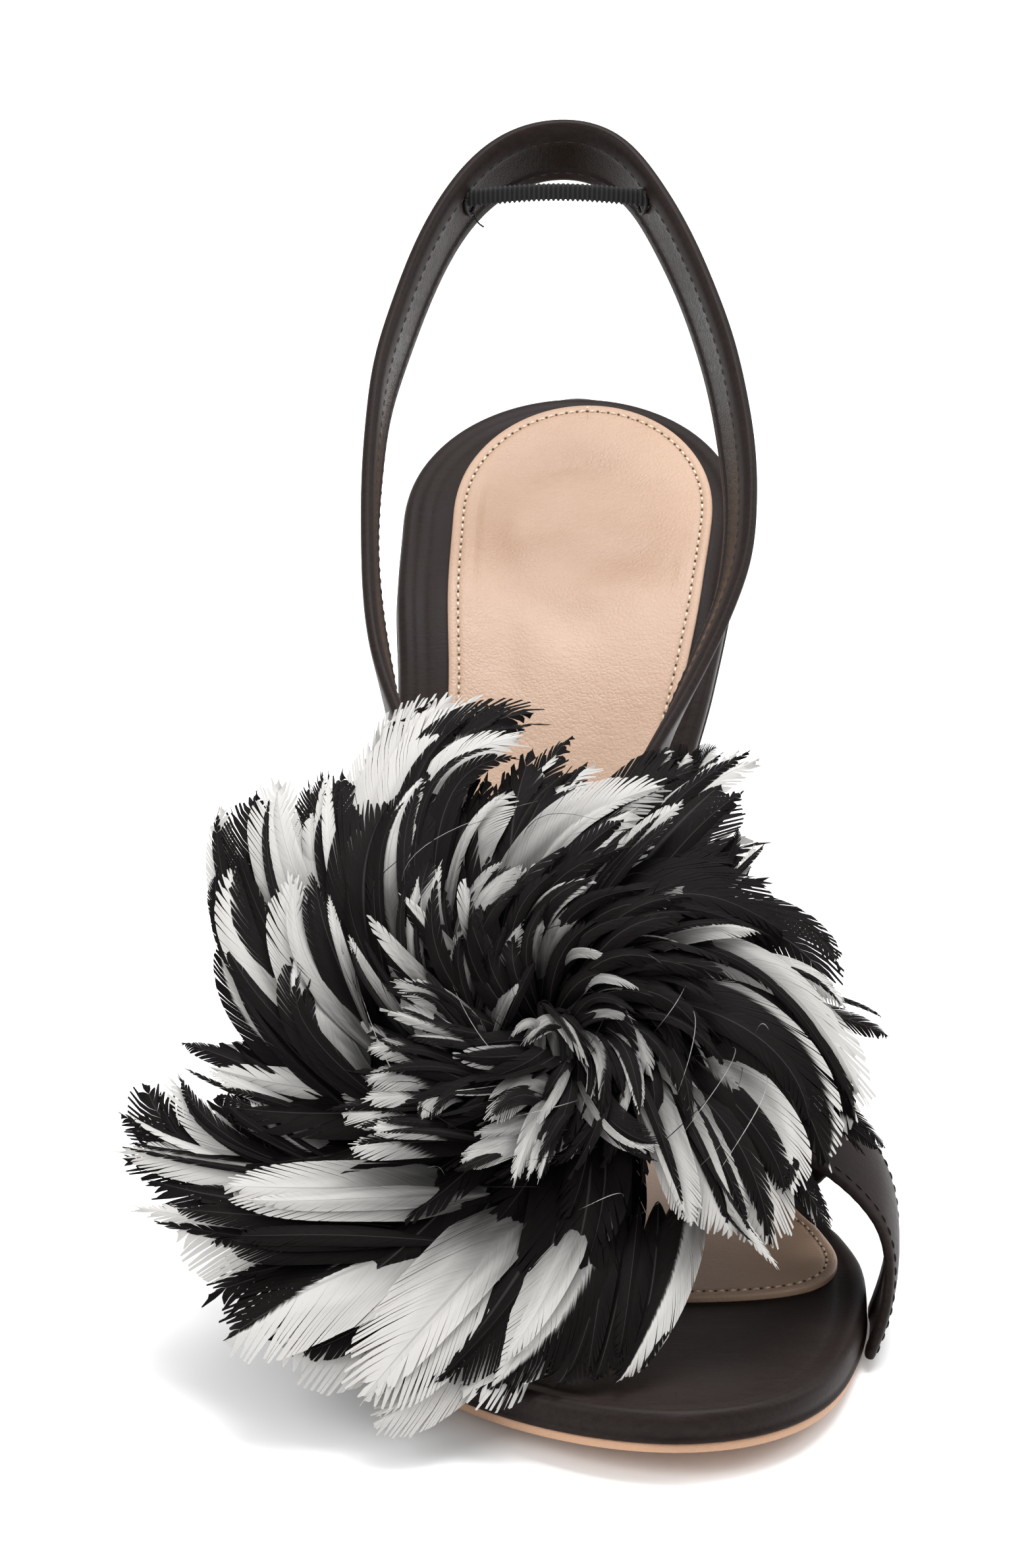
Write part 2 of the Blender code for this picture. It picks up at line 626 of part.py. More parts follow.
def make_tape(material):
    """Elastic tape across the back of the loop, between the sling's two inner faces."""
    line, _, out = sling_path(400)
    back = len(line) // 2
    want = SLING_START + TAPE_PLACE * SLING_RUN
    half = SLING_WALL / 2 + LAYER_GAP + TAPE_EASE
    ends = []
    for part in (slice(0, back), slice(back, None)):
        k = np.argmin(np.abs(line[part, 1] - want)) + (part.start or 0)
        inward = -out[k]
        reach = half + 0.5 * TAPE_BAND * abs(inward[2]) + 0.5 * TAPE_WALL * abs(inward[1])
        x = line[k, 0] + (reach - TAPE_RISE * inward[2]) / inward[0]
        ends.append((x, want, line[k, 2] + TAPE_RISE))
    steps = 15
    share = np.linspace(0, 1, steps)[:, None]
    line = np.array(ends[0]) * (1 - share) + np.array(ends[1]) * share
    rings = []
    for a, b in ((-1, -1), (1, -1), (1, 1), (-1, 1)):
        corner = np.array([0.0, b * TAPE_WALL / 2, a * TAPE_BAND / 2])
        rings.append(line + corner)
    return tube("elastic_tape", np.stack(rings, axis=1), material)


def arch_top(x, y, margin=3 * MM):
    """Top of the vamp straps over each place, or 0 where none lies within the margin."""
    turn = np.linspace(0.02, 0.98, 49)
    offset = np.full(len(turn), VAMP_WALL + VAMP_LAP)
    top = np.zeros(len(x))
    for strap in (STRAP_FRONT_MEDIAL, STRAP_FRONT_LATERAL):
        front = smooth(strap, "front", turn, "turn") * SOLE_RUN - margin
        rear = smooth(strap, "rear", turn, "turn") * SOLE_RUN + margin
        for k, (px, py) in enumerate(zip(x, y)):
            section = arch_offset(turn, np.full(len(turn), py), offset)
            near = (np.abs(section[:, 0] - px) < margin + 1 * MM) & (front < py) & (py < rear)
            if near.any():
                top[k] = max(top[k], section[near, 2].max())
    return top


def make_pompom(material):
    """Feather pompom: one dome whose rim and ridges are the swirled locks."""
    turns = LOCKS * SAMPLES_PER_LOCK
    angle = np.linspace(0, 2 * math.pi, turns, endpoint=False)
    phase = np.arange(turns) % SAMPLES_PER_LOCK / SAMPLES_PER_LOCK
    lobe = 1 - np.abs(2 * phase - 1)
    degrees = np.degrees(angle)
    reach = smooth(ROSETTE, "reach", degrees, "turn") * POMPOM_REACH
    reach *= 1 - NOTCH_DEPTH * (1 - lobe)
    raised = smooth(ROSETTE, "raise", degrees, "turn") * POMPOM_REACH
    normal = np.array([0.0, -math.sin(POMPOM_TILT), math.cos(POMPOM_TILT)])
    slope = np.array([0.0, math.cos(POMPOM_TILT), math.sin(POMPOM_TILT)])
    seat = np.array(POMPOM_SEAT)

    def sheet(share, up):
        swung = angle + SWIRL * (1 - share)
        along = reach * share
        lift = raised * share ** 2 + POMPOM_HUMP * 4 * share * (1 - share)
        dome = (POMPOM_DOME if up else -POMPOM_PAD) * (1 - share) ** 0.8
        edge = (1 if up else -1) * TIP_THICKNESS / 2
        ridge = (RIDGE if up else 0) * lobe * math.sin(math.pi * share)
        plan = along * np.cos(swung)
        depth = along * np.sin(swung)
        off = lift + dome + edge + ridge
        return seat + np.outer(plan, [1, 0, 0]) + np.outer(depth, slope) + np.outer(off, normal)

    shares = (0.14, 0.3, 0.46, 0.62, 0.76, 0.9, 1.0)
    top = [sheet(share, True) for share in shares]
    bottom = [sheet(share, False) for share in shares[:-1][::-1]]
    for ring in bottom:
        clear = arch_top(ring[:, 0], ring[:, 1]) + POMPOM_REST
        ring[:, 2] = np.maximum(ring[:, 2], clear)
    for ring in top:
        clear = arch_top(ring[:, 0], ring[:, 1]) + 2 * SLING_WALL
        ring[:, 2] = np.maximum(ring[:, 2], clear)
    rings = np.stack(top + bottom)
    return tube("pompom", rings, material)


def paint(name, colour, roughness, metallic=0.0):
    """Principled material with the piece's colour."""
    material = bpy.data.materials.new(name)
    material.use_nodes = True
    shader = material.node_tree.nodes["Principled BSDF"]
    shader.inputs["Base Color"].default_value = (*colour, 1.0)
    shader.inputs["Roughness"].default_value = roughness
    shader.inputs["Metallic"].default_value = metallic
    material.diffuse_color = (*colour, 1.0)
    return material


def join(target, other):
    """Fuse another solid into the target with a Boolean, and hide that other."""
    cut = target.modifiers.new(f"join_{other.name}", "BOOLEAN")
    cut.operation = "UNION"
    cut.solver = "EXACT"
    cut.object = other
    other.hide_render = True
    other.display_type = "WIRE"


def clear_scene():
    """Remove every object that the file starts with."""
    for thing in list(bpy.data.objects):
        bpy.data.objects.remove(thing, do_unlink=True)


def main():
    """Build the sandal's pieces."""
    clear_scene()
    satin = paint("black_satin", (0.022, 0.019, 0.020), 0.45)
    nude = paint("nude_leather", (0.72, 0.52, 0.40), 0.5)
    make_outsole(paint("outsole_leather", (0.62, 0.42, 0.28), 0.4))
    make_platform(satin)
    make_sock(nude)
    make_heel(paint("heel_satin", (0.022, 0.019, 0.020), 0.4))
    make_top_piece(paint("top_piece_plastic", (0.02, 0.02, 0.02), 0.35))
    upper = make_vamp_strap("upper_straps", STRAP_FRONT_MEDIAL,
                            paint("strap_satin", (0.02, 0.018, 0.02), 0.4))
    lower = make_vamp_strap("vamp_lower_part", STRAP_FRONT_LATERAL, satin)
    sling = make_sling(satin)
    join(upper, lower)
    join(upper, sling)
    make_tape(paint("elastic_black", (0.015, 0.015, 0.016), 0.8))
    make_pompom(paint("feather_black_white", (0.30, 0.29, 0.28), 0.7))


main()
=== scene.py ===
"""Slingback sandal with a feather pompom: the looks of the right shoe.

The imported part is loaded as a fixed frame. Every piece here is a surface worked out from
the same sizes and short tables as the part, in metres: +Z up, the toe points along -Y, the
big-toe side is +X, and the origin is on the floor under the ball of the foot.
"""

import json
import math

import bmesh
import bpy
import numpy as np
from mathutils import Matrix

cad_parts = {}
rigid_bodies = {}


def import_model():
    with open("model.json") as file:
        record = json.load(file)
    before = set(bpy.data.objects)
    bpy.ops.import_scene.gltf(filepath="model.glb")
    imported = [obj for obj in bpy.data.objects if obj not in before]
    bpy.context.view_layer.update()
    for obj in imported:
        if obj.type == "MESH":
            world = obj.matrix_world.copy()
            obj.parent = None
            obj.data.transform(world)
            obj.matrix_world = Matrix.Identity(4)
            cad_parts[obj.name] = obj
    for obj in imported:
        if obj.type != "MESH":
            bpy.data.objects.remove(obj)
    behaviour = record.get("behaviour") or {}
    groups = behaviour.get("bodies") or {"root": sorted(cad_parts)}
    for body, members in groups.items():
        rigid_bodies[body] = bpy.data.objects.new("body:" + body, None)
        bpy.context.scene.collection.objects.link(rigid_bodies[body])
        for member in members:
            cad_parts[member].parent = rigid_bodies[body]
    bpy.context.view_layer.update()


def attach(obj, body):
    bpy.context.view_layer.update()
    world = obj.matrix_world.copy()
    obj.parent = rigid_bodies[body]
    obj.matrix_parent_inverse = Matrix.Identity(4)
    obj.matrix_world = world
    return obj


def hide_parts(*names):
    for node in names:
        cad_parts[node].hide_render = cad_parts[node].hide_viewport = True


bl_info = {
    "name": "Feather pompom sandal",
    "version": (1, 0, 0),
    "blender": (4, 5, 0),
    "location": "3D View > Sidebar > Sandal",
    "description": "Builds a satin slingback sandal with a feather pompom, piece by piece",
    "category": "Add Mesh",
}

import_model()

MM = 0.001

# Sizes of the part that the pieces have to share with it
SOLE_RUN = 214.6 * MM
BALL_PLACE = 0.732
BALL_WIDTH = 81.0 * MM
HEEL_WIDTH = 56.4 * MM
SEAT_RISE = 82.6 * MM
TOE_SPRING = 4.8 * MM
SEAT_DISH = 1.2 * MM
HEEL_ROUND = 32.0 * MM
TOE_ROUND = 57.0 * MM
OUTSOLE_WALL = 1.3 * MM
LAYER_GAP = 0.3 * MM
SOCK_BORDER = 6.6 * MM
SOCK_BORDER_FRONT = 3.8 * MM
SOCK_SHIFT = 1.7 * MM
SOCK_BACK = 3.6 * MM
SOCK_FRONT = 10.5 * MM
SOCK_ROUND = 28.0 * MM
HEEL_SEAT_RUN = 47.0 * MM
HEEL_INSET = 0.8 * MM
BREAST_HOLLOW = 5.0 * MM
OUTSOLE_END = 9.0 * MM
TIP_WIDTH = 10.0 * MM
TIP_RUN = 10.0 * MM
TIP_BACK = 19.0 * MM
TOP_PIECE_RISE = 6.0 * MM
VAMP_LAP = 1.7 * MM
VAMP_CROWN = 34.0 * MM
VAMP_BULGE = 13.0 * MM
SLING_BAND = 11.5 * MM
SLING_WALL = 2.4 * MM
SLING_SPREAD = 33.0 * MM
SLING_RUN = 141.0 * MM
SLING_START = 8.0 * MM
SLING_CLIMB = 97.2 * MM
SLING_FOOT = 38.8 * MM
TAPE_BAND = 2.8 * MM
TAPE_WALL = 1.2 * MM
TAPE_PLACE = 0.924
TAPE_RISE = 1.9 * MM
POMPOM_REACH = 70.0 * MM
POMPOM_SEAT = np.array([-5.0, 4.0, 40.0]) * MM
POMPOM_TILT = math.radians(35.0)
POMPOM_DOME = 13.0 * MM
POMPOM_HUMP = 7.2 * MM
SWIRL = math.radians(24.0)
HEEL_BACK = BALL_PLACE * SOLE_RUN
TOE_TIP = HEEL_BACK - SOLE_RUN
BREAST_BACK = HEEL_BACK - HEEL_SEAT_RUN - HEEL_INSET + BREAST_HOLLOW - 3 * LAYER_GAP

# Finer sizes of the looks
SOCK_LEAD = 3.5 * MM           # how much further forward the sewn sock reaches
SOCK_CORNER = 19.0 * MM        # length over which the sock's front corners close
SOCK_SQUARE = 3.4              # and the power of their curve
SOCK_HOLLOW = 0.75 * MM        # depth of the sock's hollows
SOCK_RING = (14.0 * MM, 16.0 * MM, 122.0 * MM)   # half width, half length and middle along the shoe
SOCK_WAIST = 114.0 * MM        # where a hollow crosses the sock
SOCK_SEAM = 1.7 * MM           # from the sock's edge to its stitches
SOCK_SEAM_RISE = 7.74 * MM     # their height over the outsole's underside
UPPER_WALL = 1.9 * MM          # thickness of the vamp strap on top
LOWER_WALL = 1.95 * MM         # and of the one below
STRAP_REST = 0.3 * MM          # extra lift of the one on top
STRAP_SEAM = 2.0 * MM          # from a strap's edge to its stitches
TAPE_RIB = 0.8 * MM            # pitch of the elastic's ribs
TAPE_BOW = 1.1 * MM            # how far the elastic bows up
SLING_SEAMS = (0.42, -0.66)    # the sling's stitches, as shares of its half width

# The camera that took the photograph: its frame, focal length in pixels, place and pitch
PHOTO_SIZE = (1552, 2380)
PHOTO_FOCAL = 12598.3
CAMERA_PLACE = np.array([-0.010802, -1.142469, 0.621666])
CAMERA_PITCH = math.radians(65.0)


def table(names, rows):
    """Named columns of a table of rows."""
    return dict(zip(names.split(), np.array(rows, float).T))


# Along the sole, heel back (0) to toe tip (1); the columns are the part's own
LAST = table("at rise spring dish centre ball half", [
    (0.000, 1.000, 0.00, 1.0, 0.006, 0.00, 0.500),
    (0.071, 0.943, 0.00, 1.0, 0.000, 0.00, 0.500),
    (0.143, 0.885, 0.00, 1.0, -0.007, 0.00, 0.498),
    (0.214, 0.817, 0.00, 1.0, -0.024, 0.00, 0.488),
    (0.286, 0.701, 0.00, 0.9, -0.043, 0.05, 0.444),
    (0.357, 0.540, 0.00, 0.8, -0.080, 0.17, 0.389),
    (0.429, 0.362, 0.00, 0.6, -0.099, 0.37, 0.357),
    (0.500, 0.200, 0.00, 0.4, -0.086, 0.57, 0.374),
    (0.571, 0.079, 0.00, 0.2, -0.055, 0.76, 0.419),
    (0.643, 0.017, 0.00, 0.0, -0.010, 0.91, 0.473),
    (0.685, 0.000, 0.00, 0.0, 0.018, 0.97, 0.492),
    (0.732, 0.000, 0.00, 0.0, 0.043, 1.00, 0.500),
    (0.775, 0.000, 0.00, 0.0, 0.057, 1.00, 0.497),
    (0.857, 0.000, 0.25, 0.0, 0.085, 1.00, 0.492),
    (0.929, 0.000, 0.58, 0.0, 0.127, 1.00, 0.490),
    (1.000, 0.000, 1.00, 0.0, 0.173, 1.00, 0.490),
])

# Down the heel, from the seat (0) to the tip (1)
HEEL_FORM = table("drop girth back front", [
    (0.00, 1.00, 1.00, 1.00),
    (0.05, 0.95, 0.99, 0.92),
    (0.12, 0.76, 0.93, 0.70),
    (0.21, 0.48, 0.81, 0.43),
    (0.32, 0.25, 0.64, 0.22),
    (0.46, 0.10, 0.43, 0.09),
    (0.64, 0.03, 0.23, 0.03),
    (0.84, 0.00, 0.08, 0.00),
    (1.00, 0.00, 0.00, 0.00),
])

# Up the top piece: share of its outline, and height as a share of TOP_PIECE_RISE
TIP_FORM = ((0.5, 0), (0.93, 0), (0.98, 0.025), (1, 0.083), (1, 0.9), (0.99, 0.983), (0.5, 1))

# The foot's arch under the vamp straps
ARCH = table("along crown medial lateral", [
    (-0.12, 0.66, 0.36, 0.35),
    (-0.05, 0.82, 0.46, 0.55),
    (0.00, 0.90, 0.52, 0.70),
    (0.05, 1.00, 0.64, 0.80),
    (0.10, 1.11, 0.76, 0.85),
    (0.21, 1.35, 0.75, 0.80),
])

# The two vamp straps over that arch
STRAP_FRONT_MEDIAL = table("turn front rear lift", [
    (0.00, -0.108, -0.019, 0.0),
    (0.10, -0.093, -0.005, 0.3),
    (0.22, -0.064, 0.030, 1.0),
    (0.36, -0.034, 0.066, 1.0),
    (0.50, -0.005, 0.102, 1.0),
    (0.64, 0.028, 0.134, 1.0),
    (0.78, 0.062, 0.164, 1.0),
    (0.90, 0.092, 0.188, 0.3),
    (1.00, 0.112, 0.201, 0.0),
])
STRAP_FRONT_LATERAL = table("turn front rear lift", [
    (0.00, 0.112, 0.201, 0.0),
    (0.10, 0.084, 0.180, 0.0),
    (0.22, 0.046, 0.148, 0.0),
    (0.36, 0.016, 0.122, 0.0),
    (0.50, -0.005, 0.098, 0.0),
    (0.64, -0.024, 0.074, 0.0),
    (0.78, -0.044, 0.050, 0.0),
    (0.90, -0.062, 0.029, 0.0),
    (1.00, -0.076, 0.016, 0.0),
])

# The sling round the back, from the little-toe side to the big-toe side
SLING = table("across along up lean", [
    (-0.36, 0.000, -0.006, -88),
    (-0.41, 0.057, 0.036, -84),
    (-0.50, 0.128, 0.108, -66),
    (-0.70, 0.213, 0.218, -22),
    (-0.86, 0.312, 0.352, 6),
    (-0.95, 0.397, 0.424, 17),
    (-1.00, 0.475, 0.491, 10),
    (-1.02, 0.560, 0.570, 3),
    (-0.98, 0.690, 0.705, 2),
    (-0.86, 0.794, 0.799, 1),
    (-0.68, 0.890, 0.900, -3),
    (-0.45, 0.965, 0.966, -9),
    (-0.20, 0.996, 0.997, -14),
    (0.02, 1.000, 1.000, -15),
    (0.22, 0.981, 0.978, -12),
    (0.40, 0.920, 0.926, -4),
    (0.60, 0.822, 0.830, 3),
    (0.74, 0.710, 0.722, 12),
    (0.80, 0.590, 0.605, 18),
    (0.77, 0.510, 0.524, 26),
    (0.65, 0.440, 0.452, 33),
    (0.49, 0.365, 0.378, 30),
    (0.34, 0.290, 0.306, 10),
    (0.21, 0.203, 0.205, -28),
    (0.15, 0.128, 0.110, -66),
    (0.13, 0.057, 0.038, -84),
    (0.12, 0.000, 0.002, -88),
])

# The pompom's rim, anticlockwise from the big-toe side: reach and height over its plane
ROSETTE = table("turn reach raise", [
    (0, 0.76, 0.10),
    (30, 0.73, 0.10),
    (56, 0.83, 0.11),
    (76, 0.72, 0.11),
    (96, 0.86, 0.11),
    (125, 0.83, 0.11),
    (143, 0.91, 0.11),
    (165, 0.84, 0.10),
    (190, 0.95, 0.09),
    (215, 1.02, 0.09),
    (232, 1.08, 0.11),
    (248, 1.05, 0.12),
    (264, 0.86, 0.12),
    (281, 0.89, 0.11),
    (298, 0.72, 0.11),
    (314, 0.87, 0.11),
    (338, 0.75, 0.10),
    (360, 0.76, 0.10),
])

# Edge of the satin-wrapped platform, from its underside round to its top: inset from the
# outline and height over the outsole's underside, in mm. It has a thin rand at its foot and
# a shallow sewn valley inside its upper edge.
PLATFORM_EDGE = table("inset height", [
    (2.00, 1.62),
    (0.30, 1.62),
    (-0.10, 1.80),
    (-0.20, 2.10),
    (-0.08, 2.42),
    (0.16, 2.62),
    (0.10, 3.10),
    (-0.05, 4.10),
    (0.00, 5.10),
    (0.28, 5.95),
    (0.80, 6.45),
    (1.50, 6.66),
    (2.30, 6.62),
    (3.20, 6.36),
    (4.20, 6.30),
    (5.40, 6.48),
    (7.00, 6.58),
    (8.50, 6.60),
])
SOCK_EDGE = table("inset height", [
    (0.60, 6.55),
    (0.05, 6.60),
    (0.00, 6.90),
    (0.00, 7.40),
    (0.12, 7.66),
    (0.40, 7.80),
    (0.90, 7.86),
    (1.30, 7.80),
    (1.70, 7.70),
    (2.10, 7.80),
    (2.60, 7.88),
    (4.00, 7.90),
])
OUTSOLE_EDGE = table("inset height", [
    (2.00, 0.02),
    (0.90, 0.02),
    (0.45, 0.12),
    (0.30, 0.40),
    (0.28, 0.90),
    (0.34, 1.30),
    (0.60, 1.60),
    (2.00, 1.60),
])

# Section of a strap, round from the middle of its lining: place across its half width and
# depth through its wall, 0 inside and 1 outside. The satin turns over both edges.
STRAP_SECTION = table("across depth", [
    (0.00, 0.10),
    (0.30, 0.10),
    (0.44, 0.09),
    (0.50, 0.02),
    (0.54, -0.02),
    (0.66, 0.00),
    (0.82, 0.04),
    (0.93, 0.16),
    (0.99, 0.36),
    (1.00, 0.56),
    (0.98, 0.76),
    (0.92, 0.90),
    (0.80, 0.97),
    (0.60, 0.99),
    (0.30, 1.01),
    (0.00, 1.02),
])
LINING_EDGE = 0.47             # share of a strap's half width that its lining covers


def smooth(columns, wanted, place, key):
    """Monotone cubic through a table's column, held flat past both ends."""
    x, y = columns[key], columns[wanted]
    place = np.clip(np.asarray(place, float), x[0], x[-1])
    step = np.diff(x)
    slope = np.diff(y) / step
    ends = np.concatenate([slope[:1], slope, slope[-1:]])
    before, after = ends[:-1], ends[1:]
    same = before * after > 0
    total = np.where(same, before + after, 1.0)
    tangent = np.where(same, 2.0 * before * after / total, 0.0)
    row = np.clip(np.searchsorted(x, place, side="right") - 1, 0, len(step) - 1)
    t = (place - x[row]) / step[row]
    start = (1 + 2 * t) * (1 - t) ** 2 * y[row] + t * (1 - t) ** 2 * step[row] * tangent[row]
    end = t * t * (3 - 2 * t) * y[row + 1] + t * t * (t - 1) * step[row] * tangent[row + 1]
    return start + end


def contour(columns, count):
    """A two-column table as count points evenly spaced along its polyline."""
    a, b = columns.values()
    length = np.concatenate([[0], np.cumsum(np.hypot(np.diff(a), np.diff(b)))])
    rows = {"length": length, "a": a, "b": b}
    place = np.linspace(0, length[-1], count)
    return smooth(rows, "a", place, "length"), smooth(rows, "b", place, "length")


def last(wanted, y):
    """A column of the last's table at a place along the shoe."""
    return smooth(LAST, wanted, (HEEL_BACK - np.asarray(y, float)) / SOLE_RUN, "at")


def end_round(distance, radius):
    """Share of the full width left where an end closes as a round."""
    left = np.clip(1.0 - distance / radius, 0.0, 1.0)
    return np.sqrt(1.0 - left * left)


def centre_line(y):
    """Middle of the sole across the shoe."""
    return last("centre", y) * BALL_WIDTH


def full_half(y):
    """Half width of the sole before its ends are rounded."""
    return last("half", y) * (HEEL_WIDTH + (BALL_WIDTH - HEEL_WIDTH) * last("ball", y))


def sole_half(y):
    """Half width of the platform."""
    y = np.asarray(y, float)
    return full_half(y) * end_round(HEEL_BACK - y, HEEL_ROUND) * end_round(y - TOE_TIP, TOE_ROUND)


def bed_height(x, y):
    """Height of the outsole's underside."""
    spread = (x - centre_line(y)) / full_half(y)
    dish = SEAT_DISH * last("dish", y) * spread * spread
    return SEAT_RISE * last("rise", y) + TOE_SPRING * last("spring", y) + dish


def foot_bed(x, y, height):
    """Points at a height above the outsole's underside, square to its slope."""
    step = 0.5 * MM
    slope = (bed_height(x, y + step) - bed_height(x, y - step)) / (2 * step)
    length = np.sqrt(1.0 + slope * slope)
    return np.stack([x, y - height * slope / length, bed_height(x, y) + height / length], axis=-1)


def stations(back, front, back_round, front_round, middle, end):
    """Places along the shoe from an end tip to the other, packed where the ends are round."""
    turn = np.linspace(0.0, math.pi / 2, end)
    rear = back - back_round * (1 - np.cos(turn))
    fore = (front + front_round * (1 - np.cos(turn)))[::-1]
    return np.concatenate([rear, np.linspace(rear[-1], fore[0], middle + 2)[1:-1], fore])


def unit(vectors):
    """Vectors scaled to length one."""
    return vectors / np.maximum(np.linalg.norm(vectors, axis=-1, keepdims=True), 1e-12)


def quads(rows, columns, wrap_columns=False, wrap_rows=False):
    """Corner numbers of the quads of a grid of points, as an array of fours."""
    i = np.arange(rows if wrap_rows else rows - 1)[:, None]
    k = np.arange(columns if wrap_columns else columns - 1)[None, :]
    i2, k2 = (i + 1) % rows, (k + 1) % columns
    corners = [i * columns + k, i * columns + k2, i2 * columns + k2, i2 * columns + k]
    return np.stack([c + 0 * (i + k) for c in corners], axis=-1).reshape(-1, 4)


def mesh_object(name, points, faces, materials, face_material=None, weld=True, turn_out=True):
    """Object from arrays of points and quads; doubles are merged and faces turned outward."""
    points = np.asarray(points, np.float32).reshape(-1, 3)
    faces = np.asarray(faces, np.int32)
    mesh = bpy.data.meshes.new(name)
    mesh.vertices.add(len(points))
    mesh.vertices.foreach_set("co", points.ravel())
    mesh.loops.add(faces.size)
    mesh.loops.foreach_set("vertex_index", faces.ravel())
    mesh.polygons.add(len(faces))
    mesh.polygons.foreach_set("loop_start", np.arange(0, faces.size, 4, dtype=np.int32))
    for material in materials:
        mesh.materials.append(material)
    if face_material is not None:
        mesh.polygons.foreach_set("material_index", np.asarray(face_material, np.int32))
    mesh.update(calc_edges=True)
    if weld:
        work = bmesh.new()
        work.from_mesh(mesh)
        bmesh.ops.remove_doubles(work, verts=work.verts, dist=2e-6)
        if turn_out:
            bmesh.ops.recalc_face_normals(work, faces=work.faces)
        work.to_mesh(mesh)
        work.free()
    mesh.polygons.foreach_set("use_smooth", np.ones(len(mesh.polygons), bool))
    mesh.update()
    thing = bpy.data.objects.new(name, mesh)
    bpy.context.scene.collection.objects.link(thing)
    return thing


def tube_object(name, rings, materials, side_material=None):
    """Closed body through rings of points (station, place round, xyz), its ends drawn to a point."""
    first = np.repeat(rings[:1].mean(axis=1, keepdims=True), rings.shape[1], axis=1)
    final = np.repeat(rings[-1:].mean(axis=1, keepdims=True), rings.shape[1], axis=1)
    grid = np.concatenate([first, rings, final])
    faces = quads(grid.shape[0], grid.shape[1], wrap_columns=True)
    which = None
    if side_material is not None:
        which = np.tile(side_material, grid.shape[0] - 1)
    return mesh_object(name, grid, faces, materials, which)


def place(piece, slot, *nodes):
    """Let a finished piece ride on the shoe and stand for solids of the part; the slot is not used."""
    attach(piece, "root")
    if nodes:
        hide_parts(*nodes)
    return piece


def frames(line, toward):
    """Tangents of a line, and unit vectors square to them that point most nearly toward."""
    tangent = unit(np.gradient(line, axis=0))
    up = unit(toward - tangent * np.sum(tangent * toward, axis=1, keepdims=True))
    return tangent, up


def resample(line, extra, pitch, phase=0.5):
    """A line and an array that goes with it, taken at even steps of about the pitch, the
    first of them a share of a step past the start."""
    length = np.concatenate([[0], np.cumsum(np.linalg.norm(np.diff(line, axis=0), axis=1))])
    count = max(2, int(round(length[-1] / pitch)))
    at = (np.arange(count) + phase) * length[-1] / count
    take = [np.stack([np.interp(at, length, a[:, k]) for k in range(3)], axis=1)
            for a in (line, extra)]
    return take


def stitch_row(name, line, normal, pitch, length, radius, material, sink=0.25, phase=0.5):
    """Sewn stitches along a line: each a short spindle, a circle whose radius follows a
    half ellipse along the thread, sunk a little at both ends."""
    centre, up = resample(line, normal, pitch, phase)
    tangent, up = frames(centre, up)
    side = np.cross(tangent, up)
    along = np.linspace(-1, 1, 7)
    turn = np.linspace(0, 2 * math.pi, 6, endpoint=False)
    swell = np.sqrt(np.clip(1 - along ** 2, 0, 1)) ** 0.7
    drop = -sink * radius * 4 * along ** 2
    a = (along * length / 2)[None, :, None, None] * tangent[:, None, None, :]
    out = radius * swell[:, None] * np.cos(turn) + drop[:, None] + radius * 0.3
    across = radius * swell[:, None] * np.sin(turn)
    points = (centre[:, None, None, :] + a + out[None, :, :, None] * up[:, None, None, :]
              + across[None, :, :, None] * side[:, None, None, :])
    one = quads(len(along), len(turn), wrap_columns=True)
    faces = (one[None] + (np.arange(len(centre)) * len(along) * len(turn))[:, None, None])
    return mesh_object(name, points, faces.reshape(-1, 4), [material])


class Wire:
    """A number socket; arithmetic on it adds Math nodes."""

    def __init__(self, finish, socket):
        self.finish = finish
        self.socket = socket

    def _math(self, operation, *values):
        return self.finish.node("ShaderNodeMath", {"operation": operation}, dict(enumerate(values)))

    def __add__(self, other):
        return self._math("ADD", self, other)

    def __sub__(self, other):
        return self._math("SUBTRACT", self, other)

    def __rsub__(self, other):
        return self._math("SUBTRACT", other, self)

    def __mul__(self, other):
        return self._math("MULTIPLY", self, other)

    def __pow__(self, other):
        return self._math("POWER", self, other)

    def abs(self):
        """Size without its sign."""
        return self._math("ABSOLUTE", self)

    def sine(self):
        """Sine of the value in radians."""
        return self._math("SINE", self)

    __radd__ = __add__
    __rmul__ = __mul__


